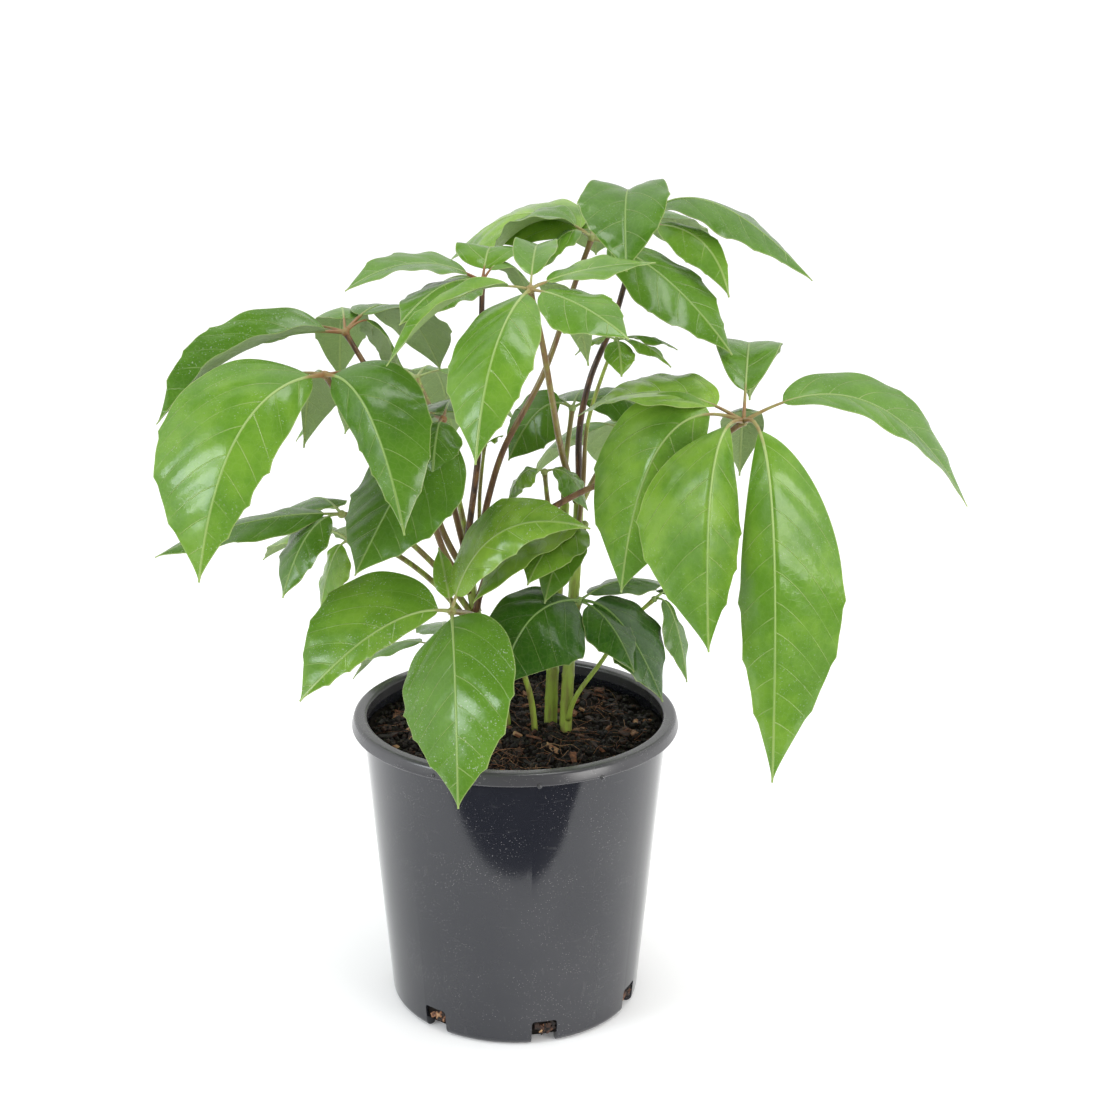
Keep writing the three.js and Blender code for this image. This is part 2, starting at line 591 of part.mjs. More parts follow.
        roll: -25, fold: 5, stalk: 6, columns: 4 },
      { tip: [87, -40, 207], width: 50, lean: -0.35, out: 0.5, lift: 6, roll: 20, stalk: 9, teeth: 2 },
      { tip: [69, -52, 230], width: 34, lift: 0, stalk: 8 },
      { tip: [96, 28, 256], width: 30, out: 0.5, lift: 14, fold: 8, stalk: 8 },
    ],
  },
  middle_right: {
    hub: [41, -10, 307],
    stem: 'b',
    petiole: [[36, 1, 280], [38, -5, 292]],
    thick: [1.8, 1.4],
    steps: 4,
    leaflets: [
      { tip: [-24, -54, 273], width: 40, out: 0.5, lift: 10, roll: 10, fold: 5, stalk: 7 },
      { tip: [7, -55, 284], width: 40, lift: 6, fold: 5, stalk: 7 },
      { tip: [17, -40, 268], width: 30, lift: 2, fold: 8, stalk: 7 },
    ],
  },
  left_long: {
    hub: [-100, -30, 319],
    stem: 'c',
    petiole: [[-20, 3, 238], [-48, -4, 280], [-78, -20, 311]],
    leaflets: [
      { tip: [-207, -40, 296], width: 36, out: 0.5, lift: 4, roll: -10, fold: 5, stalk: 10, teeth: 3 },
      { tip: [-132, -60, 278], width: 38, lean: 0.25, lift: 6, stalk: 9 },
      { tip: [-140, 40, 290], width: 38, out: 0.5, lift: 14, stalk: 10 },
    ],
  },
  centre_hanging: {
    hub: [-41, -30, 375],
    stem: 'c',
    petiole: [[-29, 2, 283], [-36, 4, 312], [-41, -12, 348]],
    leaflets: [
      { tip: [-88, -90, 301], width: 76, out: 0.4, lift: -20, fold: 5, stalk: 8, columns: 4, teeth: 3 },
      { tip: [-46, -60, 350], width: 30, lift: 5, stalk: 8 },
      { tip: [-92, 62, 345], width: 40, out: 0.5, lift: 0, stalk: 9 },
      { tip: [-30, 60, 350], width: 40, out: 0.5, lift: 16, stalk: 9 },
    ],
  },
  left_inner: {
    hub: [-100, 20, 288],
    stem: 'c',
    petiole: [[-17, 4, 226], [-48, 14, 262], [-78, 18, 283]],
    leaflets: [
      { tip: [-118, 10, 247], width: 36, lift: 2, fold: 8, stalk: 6 },
      { tip: [-160, 70, 260], width: 38, out: 0.5, lift: 14, fold: 8, stalk: 16 },
      { tip: [-95, 85, 262], width: 38, out: 0.5, lift: 14, fold: 8, stalk: 16 },
    ],
  },
  low_back: {
    hub: [-48, 52, 208],
    stem: 'c',
    petiole: [[-9, 5, 192], [-24, 26, 204]],
    thick: [1.8, 1.3],
    steps: 5,
    leaflets: [
      { tip: [-106, 84, 174], width: 32, out: 0.65, lift: 6, fold: 5 },
      { tip: [-45, 125, 196], width: 38, out: 0.5, lift: 12, fold: 8, stalk: 16 },
      { tip: [15, 100, 204], width: 36, out: 0.5, lift: 14, fold: 8, stalk: 16 },
    ],
  },
  low_thin: {
    hub: [84, 4, 256],
    stem: 'b',
    petiole: [[32, -3, 181], [37, -8, 198], [52, -5, 219], [68, 2, 241]],
    thick: [1.5, 1.2],
    leaflets: [
      { tip: [104, -8, 207], width: 24, lift: 8, fold: 8, stalk: 6 },
      { tip: [125, 45, 228], width: 34, out: 0.5, lift: 12, fold: 8, stalk: 7 },
    ],
  },
  back_right: {
    hub: [72, 92, 338],
    stem: 'a',
    petiole: [[26, 10, 266], [38, 36, 300], [60, 74, 330]],
    leaflets: [
      { tip: [128, 70, 300], width: 44, out: 0.5, lift: 16, stalk: 16 },
      { tip: [130, 150, 300], width: 46, lift: 16, stalk: 16 },
      { tip: [62, 175, 290], width: 46, lift: 16, stalk: 16 },
      { tip: [10, 130, 296], width: 44, lift: 16, stalk: 16 },
    ],
  },
  back_left: {
    hub: [-62, 96, 372],
    stem: 'c',
    petiole: [[-23, 4, 248], [-33, 30, 305], [-52, 74, 356]],
    leaflets: [
      { tip: [-140, 100, 330], width: 44, lift: 16, stalk: 16 },
      { tip: [-115, 170, 318], width: 46, lift: 16, stalk: 16 },
      { tip: [-42, 190, 310], width: 46, lift: 16, stalk: 16 },
      { tip: [0, 130, 336], width: 42, lift: 16, stalk: 16 },
    ],
  },
};

const tree = new THREE.Group();

function place(name, solid, finish) {
  const mesh = new THREE.Mesh(toGeometry(solid), new THREE.MeshStandardMaterial(colours[finish]));
  mesh.name = name;
  tree.add(mesh);
}

place('pot', potSolid(), 'pot');

const stems = {};
let mix = mixSolid();
for (const [name, { points, radii }] of Object.entries(stemLines)) {
  const [low, high] = radii;
  const line = through(points);
  stems[name] = {
    solid: tube(line, low, high, STEM_SIDES, STEM_STEPS),
    grown: tube(line, low + JOIN_GAP, high + JOIN_GAP, STEM_SIDES, STEM_STEPS),
  };
  mix = mix.subtract(stemHole(points[0], low));
}

// A plain round hole in the mix for a foot that stands in it.
function stemHole(foot, radius) {
  const wide = radius + HOLE_CLEARANCE;
  const hole = new THREE.CylinderGeometry(wide, wide, HOLE_HEIGHT, HOLE_SIDES);
  hole.rotateX(Math.PI / 2);
  hole.translate(foot[0], foot[1], HOLE_BOTTOM + HOLE_HEIGHT / 2);
  return toSolid(hole);
}

for (const leaf of Object.values(leaves)) {
  if (!leaf.stem) {
    mix = mix.subtract(stemHole(leaf.petiole[0], leaf.thick[0]));
  }
}
place('potting_mix', mix, 'mix');

for (const [name, stem] of Object.entries(stems)) {
  place(`stem_${name}`, stem.solid, 'stem');
}
for (const [name, leaf] of Object.entries(leaves)) {
  place(`petiole_${name}`, petioleSolid(leaf, stems), 'petiole');
  place(`leaf_${name}`, leafSolid(leaf), 'leaf');
}

export default tree;
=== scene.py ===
"""A young umbrella tree with hand-shaped leaves, in a black nursery pot filled with bark mix."""

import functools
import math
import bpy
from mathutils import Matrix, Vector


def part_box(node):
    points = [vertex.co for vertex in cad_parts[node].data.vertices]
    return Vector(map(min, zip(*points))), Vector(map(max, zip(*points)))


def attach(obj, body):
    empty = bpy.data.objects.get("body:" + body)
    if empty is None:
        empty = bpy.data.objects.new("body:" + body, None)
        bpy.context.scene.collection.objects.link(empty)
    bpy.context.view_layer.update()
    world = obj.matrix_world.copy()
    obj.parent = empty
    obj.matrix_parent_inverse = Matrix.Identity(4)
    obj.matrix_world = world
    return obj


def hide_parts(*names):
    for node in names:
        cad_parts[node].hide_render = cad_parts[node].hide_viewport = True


bl_info = {
    "name": "Potted umbrella tree",
    "version": (1, 0, 0),
    "blender": (4, 5, 0),
    "location": "3D View > Sidebar > Umbrella tree",
    "description": "Builds a potted umbrella tree round its frame, with leaves, stems, pot and mix",
    "category": "Add Mesh",
}

from dataclasses import dataclass

import bmesh
import bpy
import numpy as np
from bpy.props import FloatProperty, FloatVectorProperty, IntProperty, PointerProperty
from mathutils import Euler, Matrix, Vector, noise

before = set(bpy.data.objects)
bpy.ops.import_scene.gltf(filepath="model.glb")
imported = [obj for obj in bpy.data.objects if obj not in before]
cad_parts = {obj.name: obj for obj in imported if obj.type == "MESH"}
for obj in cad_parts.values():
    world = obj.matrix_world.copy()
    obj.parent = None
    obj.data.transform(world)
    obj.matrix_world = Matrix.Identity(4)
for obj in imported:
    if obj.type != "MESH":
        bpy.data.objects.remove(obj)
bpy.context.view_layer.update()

MM = 0.001
BODY = "root"

# The stems, in millimetres: the points of their middle lines, and the radii at foot and top.
STEMS = {
    "a": ([(22, 8, 141), (22, 8, 176), (24, 9, 230), (27, 10, 279), (30, 12, 316)], (4.3, 2.9)),
    "b": ([(31, -1, 141), (31, -1, 176), (34, 0, 240), (37, 2, 290), (38, 4, 328)], (4.1, 2.9)),
    "c": ([(-6, 5, 141), (-6, 5, 176), (-14, 4, 215), (-25, 2, 255), (-29, 0, 292)], (3.6, 2.7)),
}


@dataclass
class Leaflet:
    """One leaflet, in millimetres and degrees. Its tone runs from 0, deep green with painted shade, to 1,
    bright green with painted backlight.
    """

    tip: tuple
    width: float  # at the widest place
    # the leaflet's own green together with painted light: low for leaflets in shade, high for backlit
    # ones
    tone: float
    out: float = 0.6  # where its midrib bends, as a share of the level way to the tip
    lift: float = 20  # how far over the hub that bend lies
    swerve: float = 0  # how far to the right it lies
    roll: float = 0  # how far the blade turns round the midrib
    fold: float = 10  # how far each half hangs, or stands up when less than 0
    lean: float = 0  # how much wider the right half is and narrower the left, as a share
    peak: float = 0.88  # 1 puts the widest place halfway, and more puts it nearer the tip
    stalk: float = 14
    teeth: int = 1  # saw teeth on each side


class Leaf:
    """A compound leaf: the hub where its leaflets meet, and the points that its petiole runs through."""

    def __init__(self, hub, petiole, *leaflets, thick=(2.1, 1.5), warmth=(0.3, 0.35), dust=0.3):
        """thick holds the petiole's radii at its foot and hub, and warmth how brown it is there, from 0,
        fresh green, to 1, purple brown. dust says how much dried water marks the leaf, from 0 to 1."""
        self.hub = hub
        self.line = [*petiole, hub]
        self.leaflets = leaflets
        self.thick = thick
        self.warmth = warmth
        self.dust = dust


# Each leaf has its hub, the points of its petiole and its leaflets, with tip, width and tone (with
# painted light).
LEAVES = {
    "right": Leaf(
        (125, -70, 383),
        [(-24, 2, 250), (-15, -8, 280), (-2, -22, 306), (19, -42, 325), (44, -44, 339), (100, -60, 362)],
        Leaflet((141, -125, 193), 66, 0.54, lean=-0.31, peak=1.1, out=1.05, lift=30, swerve=3, roll=25,
                fold=30, stalk=26, teeth=3),
        Leaflet((104, -125, 269), 67, 0.6, lean=0.35, peak=1.14, out=1, lift=22, swerve=9, roll=-18,
                fold=34, stalk=22, teeth=3),
        Leaflet((59, -80, 288), 72, 0.6, lean=0.1, out=0.85, lift=27, roll=-50, fold=15, stalk=20,
                teeth=2),
        Leaflet((36, -22, 375), 56, 0.8, out=0.5, lift=26, roll=-8, fold=-14, stalk=18),
        Leaflet((144, 60, 366), 40, 0.45, out=0.45, lift=72, fold=-12, stalk=20),
        Leaflet((253, -60, 332), 46, 0.45, lean=-0.15, peak=0.9, out=0.56, lift=45, roll=22, fold=-12,
                stalk=24, teeth=3),
        Leaflet((134, 15, 330), 26, 0.3, out=0.7, lift=12, fold=12, stalk=18),
        warmth=(0.75, 0.7), dust=0.35,
    ),
    "left_high": Leaf(
        (-96, -20, 423),
        [(-28, 3, 269), (-42, -6, 300), (-55, -16, 345), (-80, -20, 395)],
        Leaflet((-198, -60, 379), 54, 0.3, lean=0.05, peak=0.9, out=0.55, lift=10, roll=-6, fold=-38,
                stalk=12, teeth=3),
        Leaflet((-45, 45, 388), 56, 0.3, out=0.55, lift=34, roll=-4, fold=-5, stalk=16),
        Leaflet((-66, 5, 388), 38, 0.4, out=0.7, roll=10, stalk=16),
        Leaflet((-109, 80, 374), 34, 0.5, out=0.55, lift=30),
        Leaflet((-190, 30, 385), 40, 0.4, out=0.55, lift=12),
        warmth=(0.5, 0.8), dust=0.6,
    ),
    "left_low": Leaf(
        (-103, -70, 409),
        [(-28, 1, 262), (-41, -12, 289), (-52, -15, 320), (-73, -19, 360), (-95, -52, 389)],
        Leaflet((-167, -130, 310), 72, 0.53, lean=0.38, out=0.8, lift=8, swerve=-2, roll=-30, fold=8,
                stalk=10, teeth=3),
        Leaflet((-58, -130, 336), 46, 0.28, lean=-0.35, peak=0.62, out=0.63, lift=10, roll=45, fold=20,
                stalk=8, teeth=3),
        Leaflet((-172, -40, 345), 50, 0.3, out=0.7, lift=5, fold=12, stalk=12),
        Leaflet((-126, 20, 346), 24, 0.2, lean=0.6, out=0.7, lift=0, fold=12, stalk=12),
        Leaflet((-57, -36, 378), 30, 0.35, lift=5, fold=12, stalk=12),
        warmth=(0.5, 0.75), dust=0.45,
    ),
    "front": Leaf(
        (8, -90, 459),
        [(37, 3, 318), (28, -8, 347), (21, -35, 387), (15, -60, 424)],
        Leaflet((-20, -160, 382), 49, 0.52, lean=0.16, peak=0.93, out=0.8, lift=-8, fold=12, stalk=7,
                teeth=3),
        Leaflet((-67, -110, 422), 26, 0.6, out=0.51, lift=12, fold=-30, stalk=12),
        Leaflet((75, -70, 470), 28, 0.6, out=0.37, lift=12, roll=10, fold=-8, stalk=10),
        Leaflet((58, -130, 440), 38, 0.5, out=0.5, lift=0, roll=20, fold=5, stalk=8, teeth=2),
        Leaflet((14, -28, 470), 26, 0.5, out=0.5, lift=28, fold=-20, stalk=10),
        Leaflet((41, -40, 408), 22, 0.55, out=0.7, lift=12, stalk=10),
        warmth=(0.45, 0.6),
    ),
    "centre_left": Leaf(
        (-18, -40, 455),
        [(-29, 0, 290), (-26, -8, 312), (-21, -22, 355), (-19, -34, 420)],
        Leaflet((-92, -60, 453), 40, 0.45, out=0.5, lift=24, roll=-8, fold=-12, stalk=10, teeth=2),
        Leaflet((-10, -2, 458), 40, 0.5, out=0.5, lift=30, fold=-10, stalk=8),
        Leaflet((10, -22, 440), 28, 0.45, out=0.5, lift=25, fold=5, stalk=8),
        Leaflet((-61, -90, 440), 44, 0.45, out=0.5, lift=10, fold=5, stalk=8),
        Leaflet((-62, -4, 416), 40, 0.55, lift=10, fold=8, stalk=8),
        warmth=(0.85, 0.95),
    ),
    "top_left": Leaf(
        (44, 10, 472),
        [(-28, 2, 276), (-20, -2, 300), (-16, -4, 320), (-7, 0, 349), (17, 5, 395), (36, 10, 450)],
        Leaflet((-15, 20, 457), 52, 0.5, out=0.5, lift=26, fold=-20, stalk=12, teeth=2),
        Leaflet((-40, 80, 448), 54, 0.7, out=0.5, lift=30, roll=-25, fold=5, stalk=10),
        Leaflet((121, -40, 414), 46, 0.42, out=0.5, lift=-8, swerve=-4, roll=20, fold=5, stalk=12,
                teeth=3),
        Leaflet((14, 0, 455), 28, 0.5, out=0.5, lift=15, fold=5, stalk=8),
        Leaflet((50, 95, 450), 50, 0.5, out=0.5, lift=25, fold=8, stalk=10),
        warmth=(0.75, 0.55),
    ),
    "top_right": Leaf(
        (72, 25, 477),
        [(38, 5, 324), (38, 8, 360), (44, 10, 390), (58, 14, 425)],
        Leaflet((60, -62, 464), 57, 0.28, peak=1.1, out=0.3, lift=53, swerve=9, roll=5, fold=-26,
                stalk=24, teeth=2),
        Leaflet((170, 0, 449), 46, 0.32, out=0.3, lift=44, roll=8, fold=8, teeth=3),
        Leaflet((121, -15, 442), 23, 0.56, lean=0.25, out=0.8, lift=10, roll=30, fold=8, teeth=2),
        Leaflet((110, 110, 448), 50, 0.4, out=0.5, fold=8, stalk=12),
        warmth=(1.0, 0.95),
    ),
    "new_shoot": Leaf(
        (-18, 10, 350),
        [(-27, 2, 268), (-22, 10, 290), (-21, 12, 320)],
        Leaflet((-7, 5, 357), 6, 0.8, lift=6, fold=20, stalk=4, teeth=0),
        Leaflet((-27, 5, 357), 6, 0.8, lift=6, fold=20, stalk=4, teeth=0),
        Leaflet((-17, 22, 356), 6, 0.8, lift=6, fold=20, stalk=4, teeth=0),
        thick=(1.5, 1),
    ),
    "small_top": Leaf(
        (58, -10, 417),
        [(37, 0, 296), (40, -4, 330), (42, -5, 365), (50, -8, 395)],
        Leaflet((93, -10, 411), 13, 0.5, out=0.5, lift=6, stalk=6),
        Leaflet((88, -30, 405), 13, 0.55, out=0.5, lift=4, stalk=6),
        Leaflet((60, -32, 400), 18, 0.6, lift=2, fold=5, stalk=5),
        Leaflet((35, 5, 405), 16, 0.6, out=0.5, lift=4, fold=5, stalk=6),
        thick=(1.6, 1), warmth=(0.6, 0.15),
    ),
    "inner": Leaf(
        (34, 20, 370),
        [(29, 11, 308), (30, 16, 335)],
        Leaflet((-4, 20, 338), 38, 0.35, out=0.5, lift=14, roll=-45, stalk=8),
        Leaflet((-2, 60, 350), 30, 0.35, out=0.5, lift=14, stalk=8),
        Leaflet((85, 28, 360), 30, 0.25, out=0.5, lift=16, roll=30, stalk=8),
        Leaflet((50, 85, 355), 32, 0.3, out=0.5, lift=16, stalk=8),
        thick=(2, 1.4),
    ),
    "round": Leaf(
        (17, -22, 342),
        [(27, 9, 290), (20, -8, 316)],
        Leaflet((42, -26, 320), 30, 0.55, lift=8, roll=10, fold=5, stalk=5),
        Leaflet((-4, -26, 326), 30, 0.6, lift=8, fold=5, stalk=5),
        thick=(1.8, 1.3),
    ),
    "low_front": Leaf(
        (-36, -60, 270),
        [(12, -5, 141), (12, -5, 176), (7, -8, 207), (-8, -14, 240), (-24, -32, 258)],
        Leaflet((-122, -80, 223), 52, 0.58, lean=0.6, out=0.41, lift=10, roll=-45, fold=5, stalk=8,
                teeth=3),
        Leaflet((-31, -135, 182), 74, 0.43, lean=0.08, peak=0.76, out=0.8, lift=-12, roll=32, fold=5,
                stalk=7, teeth=3),
        Leaflet((42, -70, 322), 40, 0.71, lean=-0.24, peak=0.78, out=0.2, lift=69, roll=40, fold=5,
                stalk=10, teeth=2),
        Leaflet((-44, -34, 300), 14, 0.6, out=0.4, lift=16, stalk=8, teeth=0),
        thick=(2, 1.6), warmth=(0.05, 0.55), dust=1.0,
    ),
    "low_right": Leaf(
        (38, -20, 263),
        [(33, -1, 222), (35, -8, 240)],
        Leaflet((-9, -70, 226), 62, 0.02, lean=-0.2, out=0.75, lift=16, roll=-25, fold=5, stalk=6),
        Leaflet((87, -40, 207), 50, 0.0, lean=-0.35, out=0.5, lift=6, roll=20, stalk=9, teeth=2),
        Leaflet((69, -52, 230), 34, 0.06, lift=0, stalk=8),
        Leaflet((96, 28, 256), 30, 0.18, out=0.5, lift=14, fold=8, stalk=8),
        thick=(1.8, 1.5), warmth=(0.1, 0.2),
    ),
    "middle_right": Leaf(
        (41, -10, 307),
        [(36, 1, 280), (38, -5, 292)],
        Leaflet((-24, -54, 273), 40, 0.85, out=0.5, lift=10, roll=10, fold=5, stalk=7),
        Leaflet((7, -55, 284), 40, 0.6, lift=6, fold=5, stalk=7),
        Leaflet((17, -40, 268), 30, 0.5, lift=2, fold=8, stalk=7),
        thick=(1.8, 1.4),
    ),
    "left_long": Leaf(
        (-100, -30, 319),
        [(-20, 3, 238), (-48, -4, 280), (-78, -20, 311)],
        Leaflet((-207, -40, 296), 36, 0.32, out=0.5, lift=4, roll=-10, fold=5, stalk=10, teeth=3),
        Leaflet((-132, -60, 278), 38, 0.3, lean=0.25, lift=6, stalk=9),
        Leaflet((-140, 40, 290), 38, 0.35, out=0.5, lift=14, stalk=10),
        warmth=(0.3, 0.4), dust=0.6,
    ),
    "centre_hanging": Leaf(
        (-41, -30, 375),
        [(-29, 2, 283), (-36, 4, 312), (-41, -12, 348)],
        Leaflet((-88, -90, 301), 76, 0.28, out=0.4, lift=-20, fold=5, stalk=8, teeth=3),
        Leaflet((-46, -60, 350), 30, 0.3, lift=5, stalk=8),
        Leaflet((-92, 62, 345), 40, 0.3, out=0.5, lift=0, stalk=9),
        Leaflet((-30, 60, 350), 40, 0.35, out=0.5, lift=16, stalk=9),
        warmth=(0.6, 0.75),
    ),
    "left_inner": Leaf(
        (-100, 20, 288),
        [(-17, 4, 226), (-48, 14, 262), (-78, 18, 283)],
        Leaflet((-118, 10, 247), 36, 0.75, lift=2, fold=8, stalk=6),
        Leaflet((-160, 70, 260), 38, 0.7, out=0.5, lift=14, fold=8, stalk=16),
        Leaflet((-95, 85, 262), 38, 0.5, out=0.5, lift=14, fold=8, stalk=16),
    ),
    "low_back": Leaf(
        (-48, 52, 208),
        [(-9, 5, 192), (-24, 26, 204)],
        Leaflet((-106, 84, 174), 32, 0.45, out=0.65, lift=6, fold=5),
        Leaflet((-45, 125, 196), 38, 0.4, out=0.5, lift=12, fold=8, stalk=16),
        Leaflet((15, 100, 204), 36, 0.4, out=0.5, lift=14, fold=8, stalk=16),
        thick=(1.8, 1.3),
    ),
    "low_thin": Leaf(
        (84, 4, 256),
        [(32, -3, 181), (37, -8, 198), (52, -5, 219), (68, 2, 241)],
        Leaflet((104, -8, 207), 24, 0.3, lift=8, fold=8, stalk=6),
        Leaflet((125, 45, 228), 34, 0.35, out=0.5, lift=12, fold=8, stalk=7),
        thick=(1.5, 1.2), warmth=(0.02, 0.05),
    ),
    "back_right": Leaf(
        (72, 92, 338),
        [(26, 10, 266), (38, 36, 300), (60, 74, 330)],
        Leaflet((128, 70, 300), 44, 0.45, out=0.5, lift=16, stalk=16),
        Leaflet((130, 150, 300), 46, 0.4, lift=16, stalk=16),
        Leaflet((62, 175, 290), 46, 0.5, lift=16, stalk=16),
        Leaflet((10, 130, 296), 44, 0.4, lift=16, stalk=16),
    ),
    "back_left": Leaf(
        (-62, 96, 372),
        [(-23, 4, 248), (-33, 30, 305), (-52, 74, 356)],
        Leaflet((-140, 100, 330), 44, 0.45, lift=16, stalk=16),
        Leaflet((-115, 170, 318), 46, 0.5, lift=16, stalk=16),
        Leaflet((-42, 190, 310), 46, 0.4, lift=16, stalk=16),
        Leaflet((0, 130, 336), 42, 0.45, lift=16, stalk=16),
    ),
}

# The saw teeth of a blade: where they stand on a side, for each number of teeth, how far they stand out
# in millimetres, and the shares of the blade over which they rise and fall.
TOOTH_PLACES = {3: [0.5, 0.66, 0.81], 2: [0.52, 0.74], 1: [0.62], 0: []}
TOOTH_SIZE = 2
TOOTH_RISE = 0.06
TOOTH_FALL = 0.025

# How the margins of a blade move. The cup is a share of its half width. The wave and the ruffle are
# heights in millimetres, and their paces are in radians along the blade.
CUP = 0.12
WAVE = 1.6
WAVE_PACE = 9.5
WAVE_STARTS = (0.6, 2.4)
RUFFLE = 0.9
RUFFLE_PACE = 27

# The rib of a leaflet: shares of its length from the hub, and its radius there in millimetres.
RIB_SHARES = (0, 0.04, 0.12, 0.3, 0.7, 1)
RIB_RADII = (1.7, 1.25, 0.95, 0.55, 0.3, 0.1)
HUB_SWELL = 1.7  # how many times the petiole's radius there the hub's is

# The scars that fallen leaves left on the stems, and where their bark ends, in millimetres.
SCAR_FIRST = 30
SCAR_STEP = 19
SCAR_LAST = 6  # under the top, at least
SCAR_WIDTH = 1.3
SCAR_SWELL = 0.1
STEM_TIP = 4  # length of the rounding at the top
BARK_ENDS = (34, 52)

# How a petiole swells at its foot and at its hub: lengths in millimetres, and shares of its radius.
FOOT_LENGTH = 9
FOOT_SWELL = 0.45
HEAD_LENGTH = 7
HEAD_SWELL = 0.35

# The moulding of the pot, in millimetres.
FOOT_WIDTH = 7  # of the ring that it stands on
FLOOR_TOP = 6  # top of the base plate
SHOULDER = 6  # from the lip down to the top of the plain wall inside
RIM_DRAFT = 2  # how far the rim's top stands in from its foot
RIM_WIDTH = 8
NOTCH_DEPTH = 20  # of the block that cuts a drain notch
NOTCH_ROUND = 2
SHARP_ANGLE = 32  # in degrees, past which an edge isn't shaded smooth
NUB_SINK = 0.5  # from the rim's outside in to a nub's middle
# The nubs on the rim: degrees from the front, height and radius.
NUBS = ((8, 179, 1.5), (30, 179, 1.6), (-28, 181, 1.2), (118, 179, 1.5), (207, 179, 1.5))

# The body of the mix and what lies on it, in millimetres, each size from least to most.
MIX_GAP = 0.3  # to the wall
MIX_FOOT = 6.2  # height of its underside
MIX_EDGE = 4  # from the surface down to where its side ends
MIX_LEVELS = 40
MIX_RINGS = 96
MIX_STEPS = 240
CRUMB_SIZE = (0.5, 1.9)
CHIP_LENGTH = (3, 8)
CHIP_THICKNESS = (1, 2.4)
FIBRE_LENGTH = (8, 34)
FIBRE_RADIUS = (0.1, 0.24)
FIBRE_BENDS = 4
WALL_MARGIN = 3  # that crumbs and fibres keep from the wall
BIT_LENGTH = (2, 5)
BIT_THICKNESS = (1, 2)
# A full turn in radians, near enough for a random heading.
TURN = 6.28

# Colours that the panel leaves out, and ramps of shade and colour.
PALE_MARGIN = (0.55, 0.6, 0.25)
WATER_SPOT = (0.6, 0.64, 0.52)
BACKLIGHT = (0.42, 0.62, 0.04)
RIB_DARK = (0.15, 0.26, 0.055)
RIB_PALE = (0.4, 0.5, 0.18)
RIB_TIP = (0.2, 0.35, 0.07)
PORE = (0.32, 0.26, 0.14)
OLD_BARK = (0.16, 0.11, 0.055)
POT_DUST = (0.31, 0.3, 0.3)
FLOOR_SHADE = (0.7, 0.7, 0.7)
ROOM_BLACK = (0.01, 0.01, 0.012)
SOIL = [(0.3, (0.004, 0.003, 0.002)), (0.55, (0.009, 0.0055, 0.004)), (0.8, (0.026, 0.016, 0.01))]
CHIPS = [
    (0.0, (0.004, 0.003, 0.002)),
    (0.35, (0.011, 0.0055, 0.0035)),
    (0.6, (0.05, 0.019, 0.009)),
    (0.82, (0.2, 0.077, 0.032)),
    (1.0, (0.36, 0.22, 0.11)),
]

# The set, in metres: the floor's radius, and half the width, the height, the front edge of the top and
# the lift off the floor of the dark room that stands behind the camera.
FLOOR_RADIUS = 40
ROOM_REACH = 3
ROOM_HEIGHT = 2.7
ROOM_TOP_EDGE = 0.3
ROOM_LIFT = 0.0005
TREE_MIDDLE = (0, 0, 0.3)


# The fields that the panel shows, each from a name, a description and a default.
def number(name, description, default, **kind):
    return FloatProperty(name=name, description=description, default=default, **kind)


def whole(name, description, default):
    return IntProperty(name=name, description=description, default=default)


def colour(name, description, default):
    return FloatVectorProperty(name=name, description=description, default=default, subtype="COLOR")


class PotSizes(bpy.types.PropertyGroup):
    """Sizes and colour of the nursery pot, in millimetres."""

    rim_radius: number("Rim radius", "Outside of the rolled rim", 100)
    rim_top: number("Height", "Top of the rim", round(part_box("pot")[1].z / MM, 1))
    lip_bottom: number("Lip bottom", "Lower edge of the rim", 178.5)
    body_top_radius: number("Body top radius", "Wall just under the rim", 92.8)
    base_radius: number("Base radius", "Wall at the ground", 77)
    wall: number("Wall", "Thickness of the moulded wall", 2)
    plate: number("Plate", "Underside of the base plate", 3)
    notches: whole("Notches", "Drain notches round the base", 7)
    notch_width: number("Notch width", "Width of a drain notch", 15.5)
    notch_height: number("Notch height", "Height of a drain notch", 16)
    notch_first: number("First notch", "Degrees from the front", -38.3)
    steps: whole("Steps", "Steps round the pot", 180)
    plastic: colour("Colour", "Black plastic", (0.0135, 0.0145, 0.02))


class MixSizes(bpy.types.PropertyGroup):
    """Sizes of the potting mix, in millimetres, and how much lies on it."""

    top: number("Top", "Middle height of the surface", 174)
    bump: number("Bump", "Height of the surface's waves", 3.2)
    crumb: number("Crumb", "Height of the crumbs", 2.4)
    crumbs: whole("Crumbs", "Loose crumbs on the surface", 3000)
    chips: whole("Chips", "Bark chips on the surface", 170)
    fibres: whole("Fibres", "Loose fibres on the surface", 220)
    bits: whole("Bits", "Bark bits behind each drain notch", 14)
    seed: whole("Seed", "Seed of the scatter", 7)


class LeafLook(bpy.types.PropertyGroup):
    """Thickness, relief and colours of the leaves."""

    thickness: number("Thickness", "Blade thickness in mm", 0.55)
    rows: whole("Rows", "Steps along a leaflet", 80)
    columns: whole("Columns", "Steps across a leaflet", 26)
    spacing: number("Side veins", "From one side vein to the next in mm", 17)
    quilt: number("Quilting", "Rise between side veins in mm", 0.75)
    # The deep green also paints shade and the bright green also paints backlight, besides the leaves' own
    # age.
    deep: colour("Deep green", "Shaded old leaf", (0.026, 0.1, 0.006))
    green: colour("Green", "Usual leaf", (0.12, 0.27, 0.022))
    young_and_backlit: colour("Young green", "Young leaf", (0.3, 0.5, 0.055))
    under: colour("Underside", "Pale underside", (0.36, 0.48, 0.2))
    vein: colour("Vein", "Midrib and side veins", (0.46, 0.58, 0.2))


